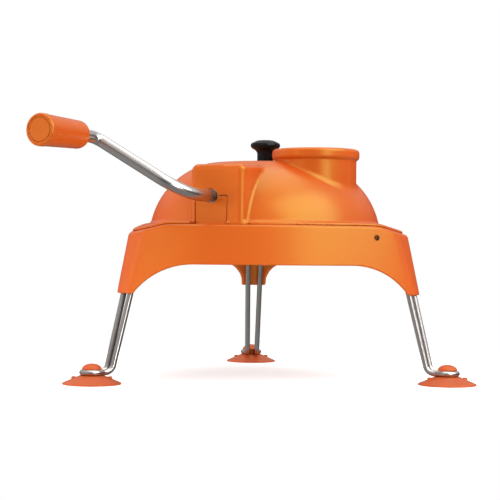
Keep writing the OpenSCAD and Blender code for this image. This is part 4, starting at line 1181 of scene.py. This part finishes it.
class CUTTER_OT_crank(MakerOperator, bpy.types.Operator):
    """Makes the bent crank rod."""

    bl_idname = "cutter.crank"
    bl_label = "Crank rod"

    def execute(self, context):
        k, c = sizes().crank, sizes().cover
        bend, second, seat, _, tip = crank_stations()
        shoulder = c.box_face + k.journal_out
        start, step, pin_end = -5 * MM, 8 * MM, tip - 7.2 * MM
        soft, edge = 0.8 * MM, 0.6 * MM
        x, y = Vector((1, 0, 0)), Vector((0, 1, 0))
        right = math.pi / 2
        bends = arc((bend, k.shaft_bend, 0), k.shaft_bend, -right, k.arm_angle - right, 28, x, y)
        middle = (second, k.arm - k.grip_bend, 0)
        bends += arc(middle, k.grip_bend, right + k.arm_angle, right, 20, x, y)
        path = [Vector((u, 0, 0)) for u in (start, step, step, shoulder - soft, shoulder)] + bends
        radii = [k.pilot, k.pilot, k.journal, k.journal, k.rod] + [k.rod] * len(bends)
        path += [Vector((u, k.arm, 0)) for u in (seat - edge, seat, seat, pin_end)]
        radii += [k.rod, k.rod - edge, k.grip_pin, k.grip_pin]
        mesh = swept_bar("crank_bar", path, radii, 48, Vector((0, 0, 1)), crank_place())
        piece("crank_bar", mesh, "crank", "polished_wire", ["crank_rod"])
        return {"FINISHED"}


class CUTTER_OT_grip(MakerOperator, bpy.types.Operator):
    """Makes the turning grip and its end cap."""

    bl_idname = "cutter.grip"
    bl_label = "Crank grip"

    def execute(self, context):
        k = sizes().crank
        grip = crank_stations()[3]
        inner = k.grip_pin + 0.06 * MM
        long = k.grip_length
        neck, end = k.grip_neck, k.grip_end
        cap, pocket = k.grip_cap + 0.1 * MM, 8.5 * MM
        profile = rounded([
            (inner, 0, 0), (neck, 0, 8 * MM), (end - 0.45 * MM, long - 10 * MM, 2 * MM),
            (end, long - 7 * MM, 2 * MM), (end, long - 1.6 * MM, 1.5 * MM), (end - 1.3 * MM, long, 1 * MM),
            (cap + 1.4 * MM, long, 0.5 * MM), (cap + 1.2 * MM, long - 0.8 * MM, 0.2 * MM),
            (cap, long - 0.8 * MM, 0.3 * MM), (cap, long - 2.1 * MM, 0), (pocket, long - 2.1 * MM, 0),
            (pocket, long - 7 * MM, 0), (inner, long - 7 * MM, 0), (inner, 0, 0),
        ], 8)
        place = crank_place() @ Matrix.Translation((grip, k.arm, 0)) @ Matrix.Rotation(math.pi / 2, 4, "Y")
        mesh = turned_mesh("grip_handle", profile, 96, place)
        piece("grip_handle", mesh, "grip", "orange_moulding", ["crank_grip"])
        lid = rounded([
            (0, long - 2 * MM, 0), (k.grip_cap, long - 2 * MM, 0), (k.grip_cap, long - 0.5 * MM, 0.5 * MM),
            (k.grip_cap * 0.62, long - 0.7 * MM, 1 * MM), (0, long - 0.7 * MM, 0),
        ])
        mesh = turned_mesh("grip_end_cap", lid, 72, place)
        piece("grip_end_cap", mesh, "grip", "orange_moulding", ["grip_cap"])
        return {"FINISHED"}


class CUTTER_OT_knob(MakerOperator, bpy.types.Operator):
    """Makes the black clamp knob."""

    bl_idname = "cutter.knob"
    bl_label = "Clamp knob"

    def execute(self, context):
        k = sizes().crank
        top, head = k.knob_height, k.knob_height - k.knob_head
        clip = -7.2 * MM
        bore, groove, sleeve = 4.6 * MM, 5.6 * MM, 6.5 * MM
        inside = head + 2 * MM
        profile = rounded([
            (bore, clip - 2 * MM, 0), (sleeve, clip - 2 * MM, 0.4 * MM), (sleeve, clip - 0.1 * MM, 0),
            (groove, clip - 0.1 * MM, 0), (groove, clip + 1.1 * MM, 0), (sleeve, clip + 1.1 * MM, 0),
            (sleeve, 0.1 * MM, 0), (k.knob_stem, 0.1 * MM, 0.8 * MM),
            (k.knob_stem, head - 2.5 * MM, 6 * MM), (k.knob - 1.6 * MM, head + 0.9 * MM, 1.2 * MM),
            (k.knob, head + 3 * MM, 2 * MM), (k.knob - 0.4 * MM, top - 3.4 * MM, 3.5 * MM),
            (k.knob * 0.55, top, 8 * MM), (0, top, 0), (0, inside, 0), (bore, inside, 0),
            (bore, clip - 2 * MM, 0),
        ], 8)
        mesh = turned_mesh("clamp_knob", profile, 96, Matrix.Translation(KNOB_SEAT))
        piece("clamp_knob", mesh, "clamp_knob", "black_plastic", ["knob"])
        return {"FINISHED"}


def foot_stations():
    """Upper end and bend of a wire from the disc axis, its lead's two sides, and the eye from the axis."""
    b, f = sizes().base, sizes().feet
    lean = b.leg_lean
    bend_height = f.eye_height + f.bend * (1 - math.sin(lean))
    inset = f.wire_in / math.cos(lean)
    top_out = b.corner_out + f.wire_top * math.tan(lean) - inset
    level = b.corner_out + (b.deck_height - bend_height) * math.tan(lean) - inset + f.bend * math.cos(lean)
    lead_side = f.foot_gap / 2 + f.eye_lead
    lead = math.sqrt((f.eye + f.eye_lead) ** 2 - lead_side ** 2)
    return top_out, level, lead_side, lead, level + f.run + lead


# Angles that the eye's arc leaves free after the lead and at its far end
EYE_START, EYE_END = 0.1, 0.06


def half_wire(side):
    """One half of a leg's hairpin, down the leg and round half of the eye."""
    b, f = sizes().base, sizes().feet
    top_out, level, lead_side, lead, eye_out = foot_stations()
    turn = math.atan2(lead, lead_side)
    x, z, y = (1, 0, 0), (0, 0, 1), (0, side, 0)
    right = math.pi / 2
    path = [Vector((top_out, side * f.top_gap / 2, b.deck_height - f.wire_top))]
    middle = (level, side * f.foot_gap / 2, f.eye_height + f.bend)
    path += arc(middle, f.bend, math.pi + b.leg_lean, 3 * right, 12, x, z)
    path += arc((level + f.run, side * lead_side, f.eye_height), f.eye_lead, -right, turn - right, 10, x, y)
    path += arc((eye_out, 0, f.eye_height), f.eye, right + turn - EYE_START, EYE_END, 22, x, y)
    return path


class CUTTER_OT_legs(MakerOperator, bpy.types.Operator):
    """Sweeps the three wire legs."""

    bl_idname = "cutter.legs"
    bl_label = "Wire legs"

    def execute(self, context):
        f = sizes().feet
        maker = bent_wire_tree()
        for name, az in LEGS.items():
            path = half_wire(1) + half_wire(-1)[::-1]
            line = bpy.data.meshes.new("wire_line")
            line.from_pydata([tuple(p) for p in path], [(i, i + 1) for i in range(len(path) - 1)], [])
            line.transform(
                Matrix.Translation((DISC_AXIS.x, DISC_AXIS.y, 0)) @ Matrix.Rotation(az, 4, "Z")
            )
            made = maker.run("wire_leg_" + name, line, {
                "Wire radius": f.wire, "Wire sides": f.wire_sides, "Material": FINISHES["polished_wire"],
            })
            outward(made)
            made.set_sharp_from_angle(angle=WIRE_EDGE)
            piece("wire_leg_" + name, made, "stand", "polished_wire", ["leg_wire_" + name])
        return {"FINISHED"}


class CUTTER_OT_cups(MakerOperator, bpy.types.Operator):
    """Makes the three suction cups."""

    bl_idname = "cutter.cups"
    bl_label = "Suction cups"

    def execute(self, context):
        f = sizes().feet
        out = foot_stations()[4]
        gap = 2 * MM
        edge = f.cup + gap
        for name, az in LEGS.items():
            centre = (DISC_AXIS.x + out * math.cos(az), DISC_AXIS.y + out * math.sin(az), 0)
            mesh = moulded(
                "cup_" + name, cup_field, (-edge, -edge, -gap), (edge, edge, f.cup_head_top + gap),
                f.cup_step, centre,
            )
            piece("cup_" + name, mesh, "stand", "cup_rubber", ["suction_cup_" + name])
        return {"FINISHED"}


def facet_point(az, out, along):
    """A point on the frame of a corner facet, and the direction into the leg."""
    b = sizes().base
    c, s = math.cos(b.leg_lean), math.sin(b.leg_lean)
    level = b.corner_out + out * c - along * s
    up = b.deck_height + out * s + along * c
    d = Vector((math.cos(az), math.sin(az), 0))
    return Vector((DISC_AXIS.x, DISC_AXIS.y, up)) + level * d, -(c * d + s * Vector((0, 0, 1)))


# How deep the heads of the clamp screws sit in the corner facets
CLAMP_HEADS = -13.2 * MM
# Radius of the circle of ring screws, places of the rivets along and across a blade
RING_SCREWS = 13.75 * MM
RIVETS_ALONG, RIVETS_ACROSS = (34 * MM, 84 * MM), -10.5 * MM
# Angle of the front screw round its panel, and its depth below the deck
FRONT_TURN, FRONT_DROP = math.radians(25.7), 11.95 * MM


class CUTTER_OT_fasteners(MakerOperator, bpy.types.Operator):
    """Places the screws and rivets."""

    bl_idname = "cutter.fasteners"
    bl_label = "Screws and rivets"

    def execute(self, context):
        up = Vector((0, 0, 1))
        axis = Vector((DISC_AXIS.x, DISC_AXIS.y, 0))
        disc_top = DISC_AXIS.z + 2 * MM
        spots = [facet_point(az, CLAMP_HEADS, place) for az in LEGS.values() for place in CLAMP_SCREWS]
        head = rounded([
            (0, -9.5 * MM, 0), (1.5 * MM, -9.5 * MM, 0), (1.5 * MM, 0, 0), (3 * MM, 0, 0),
            (3 * MM, 1.2 * MM, 0.6 * MM), (2 * MM, 1.8 * MM, 0),
        ])
        place_fasteners("leg_screws", spots, head, (1.3 * MM, 1.2 * MM), "stand", "leg_clamp_screws")
        spots = []
        for n in range(3):
            a = THIRD * (n + 0.5)
            spot = Vector((RING_SCREWS * math.cos(a), RING_SCREWS * math.sin(a), disc_top + 2.5 * MM))
            spots.append((axis + spot, up))
        head = rounded([
            (0, -7.5 * MM, 0), (2 * MM, -7.5 * MM, 0), (2 * MM, 0, 0), (3 * MM, 0, 0),
            (3 * MM, 1.1 * MM, 0.6 * MM), (2 * MM, 1.8 * MM, 0),
        ])
        place_fasteners("ring_screws", spots, head, (1.4 * MM, 1.2 * MM), "disc", "disc_screws")
        spots = []
        for n in range(3):
            c, s = math.cos(THIRD * n), math.sin(THIRD * n)
            w = RIVETS_ACROSS
            for u in RIVETS_ALONG:
                spots.append((axis + Vector((u * c - w * s, u * s + w * c, disc_top + 1.5 * MM)), up))
        head = rounded([
            (0, -3.5 * MM, 0), (1.6 * MM, -3.5 * MM, 0), (1.6 * MM, 0, 0), (2.8 * MM, 0, 0),
            (2.6 * MM, 0.6 * MM, 0.5 * MM), (1.2 * MM, 1 * MM, 1 * MM), (0, 1 * MM, 0),
        ])
        place_fasteners("edge_rivets", spots, head, None, "disc", "blade_rivets")
        b = sizes().base
        turn = FRONT_TURN - math.pi / 2
        z = b.deck_height - FRONT_DROP
        out = b.panel_curve + (b.deck_height - z) * math.tan(b.panel_lean)
        spot = axis + Vector((out * math.cos(turn), b.panel_curve - b.panel_mid + out * math.sin(turn), z))
        lean = b.panel_lean
        along = Vector((math.cos(turn) * math.cos(lean), math.sin(turn) * math.cos(lean), math.sin(lean)))
        head = rounded([
            (0, -10 * MM, 0), (1.6 * MM, -10 * MM, 0), (1.6 * MM, 0.1 * MM, 0), (3 * MM, 0.1 * MM, 0),
            (3 * MM, 0.7 * MM, 0.4 * MM), (2.2 * MM, 1 * MM, 0),
        ])
        # The front screw gets the dark brown metal instead of the plated finish
        place_fasteners(
            "front_screw", [(spot, along)], head, (1.6 * MM, 0.8 * MM), "stand", "panel_screw",
            look="dark_brown_screw",
        )
        return {"FINISHED"}


class CUTTER_OT_works(MakerOperator, bpy.types.Operator):
    """Gives the pieces that keep their built shape their finishes."""

    bl_idname = "cutter.works"
    bl_label = "Axle, gears, disc and blades"

    def execute(self, context):
        for row in frame["record"]["subparts"]:
            node = frame["nodes"][row["node"]]
            if node.hide_render:
                continue
            node.data.materials.clear()
            node.data.materials.append(FINISHES[row["material_slot"]])
        return {"FINISHED"}


def soft_box(name, place, target, width, height, power, mirrored):
    """Adds an area lamp that looks at a target, mirrored in the pieces or not."""
    lamp = bpy.data.lights.new(name, "AREA")
    lamp.shape = "RECTANGLE"
    lamp.size, lamp.size_y = width, height
    lamp.energy = power
    holder = bpy.data.objects.new(name, lamp)
    bpy.context.scene.collection.objects.link(holder)
    holder.visible_glossy = mirrored
    aim = (Vector(target) - Vector(place)).to_track_quat("-Z", "Y")
    holder.matrix_world = Matrix.Translation(Vector(place)) @ aim.to_matrix().to_4x4()


# Each lamp's place from the point that all look at, width, height, power, and if it is mirrored
LIGHTS_AIM = 0.15
SOFT_BOXES = (
    ("key soft box", (0.89, -0.89, 0.985), 1.6, 1.25, 22, True),
    ("top soft box", (0.0, 0.1, 1.5), 1.4, 1.4, 11, True),
    ("front fill", (0.73, -1.64, 0.0), 0.6, 0.4, 4.6, True),
    ("left fill", (-1.3, -0.85, 0.33), 0.8, 0.8, 11.5, False),
    ("left strip", (-1.33, 0.234, 0.14), 0.35, 1.0, 11, False),
    ("right strip", (1.33, 0.234, 0.14), 0.35, 1.0, 5.5, False),
)


FLOOR_FADE = (0.27, 0.58)
FLOOR_RADIUS = 0.6


def studio_floor():
    """Pale round floor that fades out into the white of the studio."""
    material, shader, place = finish(
        "studio floor", Roughness=0.9, Specular_IOR_Level=0.1,
        Emission_Color=(1, 1, 1, 1), Emission_Strength=0.29,
    )
    pale = sizes().colours.floor
    fade = place.distance().eased(*FLOOR_FADE, 1.0, 0.0)
    feed(shader, {
        "Base Color": place.noise(3.0, 1.0).blend(shade(pale, 0.99), shade(pale, 1.0)),
        "Alpha": fade,
    })
    points, faces = lathe([(0, 0), (FLOOR_RADIUS / 2, 0), (FLOOR_RADIUS, 0)], 96)
    mesh = mesh_of("studio_floor", points, faces)
    outward(mesh)
    mesh.materials.append(material)
    floor = bpy.data.objects.new("studio_floor", mesh)
    floor.visible_glossy = False
    return floor


def studio_light():
    """White studio: seen white, lighting softly, mirrored bright above, softer on the left and below."""
    world = bpy.data.worlds.new("studio light")
    world.use_nodes = True
    tree = world.node_tree
    tree.nodes.clear()
    place = Socket(tree, tree.nodes.new("ShaderNodeTexCoord").outputs["Generated"])
    parts = place.node("ShaderNodeSeparateXYZ", {}, {0: place}).out.node.outputs
    x, z = Socket(tree, parts["X"]), Socket(tree, parts["Z"])
    above = z.eased(0.08, 0.45, 0.04, 0.62)
    aside = x.eased(-0.25, -0.7, 0.0, 0.35)
    below = z.eased(-0.15, -0.5, 0.0, 0.26)
    mirrored = above.math("MAXIMUM", above.math("MAXIMUM", above, aside), below)
    seen = tree.nodes.new("ShaderNodeLightPath")
    shown = None
    for ray, strength in ((None, 0.50), ("Is Glossy Ray", mirrored), ("Is Camera Ray", 1.0)):
        light = place.node("ShaderNodeBackground", {}, {"Color": (1, 1, 1, 1), "Strength": strength})
        if ray:
            share = Socket(tree, seen.outputs[ray])
            light = place.node("ShaderNodeMixShader", {}, {0: share, 1: shown, 2: light})
        shown = light
    place.node("ShaderNodeOutputWorld", {}, {"Surface": shown}, output=None)
    return world


SENSOR_WIDTH = 36.0
# The focal length in pixels of a picture of this width
FOCAL_PIXELS, PICTURE_WIDTH = 1450, 500
FRAME_SHIFT = 0.0026
CAMERA_YAW, CAMERA_ROLL = math.radians(3.68), math.radians(0.51)
# The camera's distance from the disc axis along its view and to the left, and its height
CAMERA_AWAY, CAMERA_ASIDE, CAMERA_HEIGHT = 1590.2 * MM, 15.86 * MM, 136.4 * MM


class CUTTER_OT_stage(MakerOperator, bpy.types.Operator):
    """Sets up the floor, the soft light and the camera."""

    bl_idname = "cutter.stage"
    bl_label = "Studio"

    def execute(self, context):
        scene = context.scene
        scene.view_settings.view_transform = "Standard"
        floor = studio_floor()
        scene.collection.objects.link(floor)
        scene.world = studio_light()
        x, y, z = DISC_AXIS.x, DISC_AXIS.y, LIGHTS_AIM
        for name, place, width, height, power, mirrored in SOFT_BOXES:
            spot = (x + place[0], y + place[1], z + place[2])
            soft_box(name, spot, (x, y, z), width, height, power, mirrored)

        lens = bpy.data.cameras.new("camera")
        lens.sensor_width = SENSOR_WIDTH
        lens.lens = SENSOR_WIDTH * FOCAL_PIXELS / PICTURE_WIDTH
        lens.shift_y = FRAME_SHIFT
        camera = bpy.data.objects.new("camera", lens)
        scene.collection.objects.link(camera)
        c, s = math.cos(CAMERA_YAW), math.sin(CAMERA_YAW)
        spot = Vector((
            x - CAMERA_ASIDE * c - CAMERA_AWAY * s, y + CAMERA_ASIDE * s - CAMERA_AWAY * c, CAMERA_HEIGHT
        ))
        look = Vector((s, c, 0)).to_track_quat("-Z", "Y").to_matrix().to_4x4()
        camera.matrix_world = Matrix.Translation(spot) @ look @ Matrix.Rotation(CAMERA_ROLL, 4, "Z")
        scene.camera = camera
        return {"FINISHED"}


MAKERS = (
    CUTTER_OT_stage, CUTTER_OT_base, CUTTER_OT_cover, CUTTER_OT_crank, CUTTER_OT_grip, CUTTER_OT_knob,
    CUTTER_OT_legs, CUTTER_OT_cups, CUTTER_OT_fasteners, CUTTER_OT_works,
)


class CUTTER_PT_panel(bpy.types.Panel):
    """Lists the makers of the cutter's pieces."""

    bl_idname = "CUTTER_PT_panel"
    bl_label = "Vegetable cutter"
    bl_space_type = "VIEW_3D"
    bl_region_type = "UI"
    bl_category = "Cutter"

    def draw(self, context):
        for maker in MAKERS:
            self.layout.operator(maker.bl_idname)


class CutterSettings(bpy.types.PropertyGroup):
    """All the settings of the cutter."""

    base: PointerProperty(type=BaseSizes, name="Base", description="Sizes of the base")
    cover: PointerProperty(type=CoverSizes, name="Cover", description="Sizes of the cover")
    crank: PointerProperty(type=CrankSizes, name="Crank", description="Sizes of the crank and knob")
    feet: PointerProperty(type=FootSizes, name="Feet", description="Sizes of the legs and cups")
    colours: PointerProperty(type=FinishColours, name="Colours", description="Colours of the finishes")


CLASSES = (
    BaseSizes, CoverSizes, CrankSizes, FootSizes, FinishColours, CutterSettings, *MAKERS, CUTTER_PT_panel,
)


def register():
    for one in CLASSES:
        bpy.utils.register_class(one)
    bpy.types.Scene.cutter = PointerProperty(type=CutterSettings)


def unregister():
    del bpy.types.Scene.cutter
    for one in reversed(CLASSES):
        bpy.utils.unregister_class(one)


def main():
    register()
    make_finishes()
    for maker in MAKERS:
        group, name = maker.bl_idname.split(".")
        getattr(getattr(bpy.ops, group), name)()


if __name__ == "__main__":
    main()
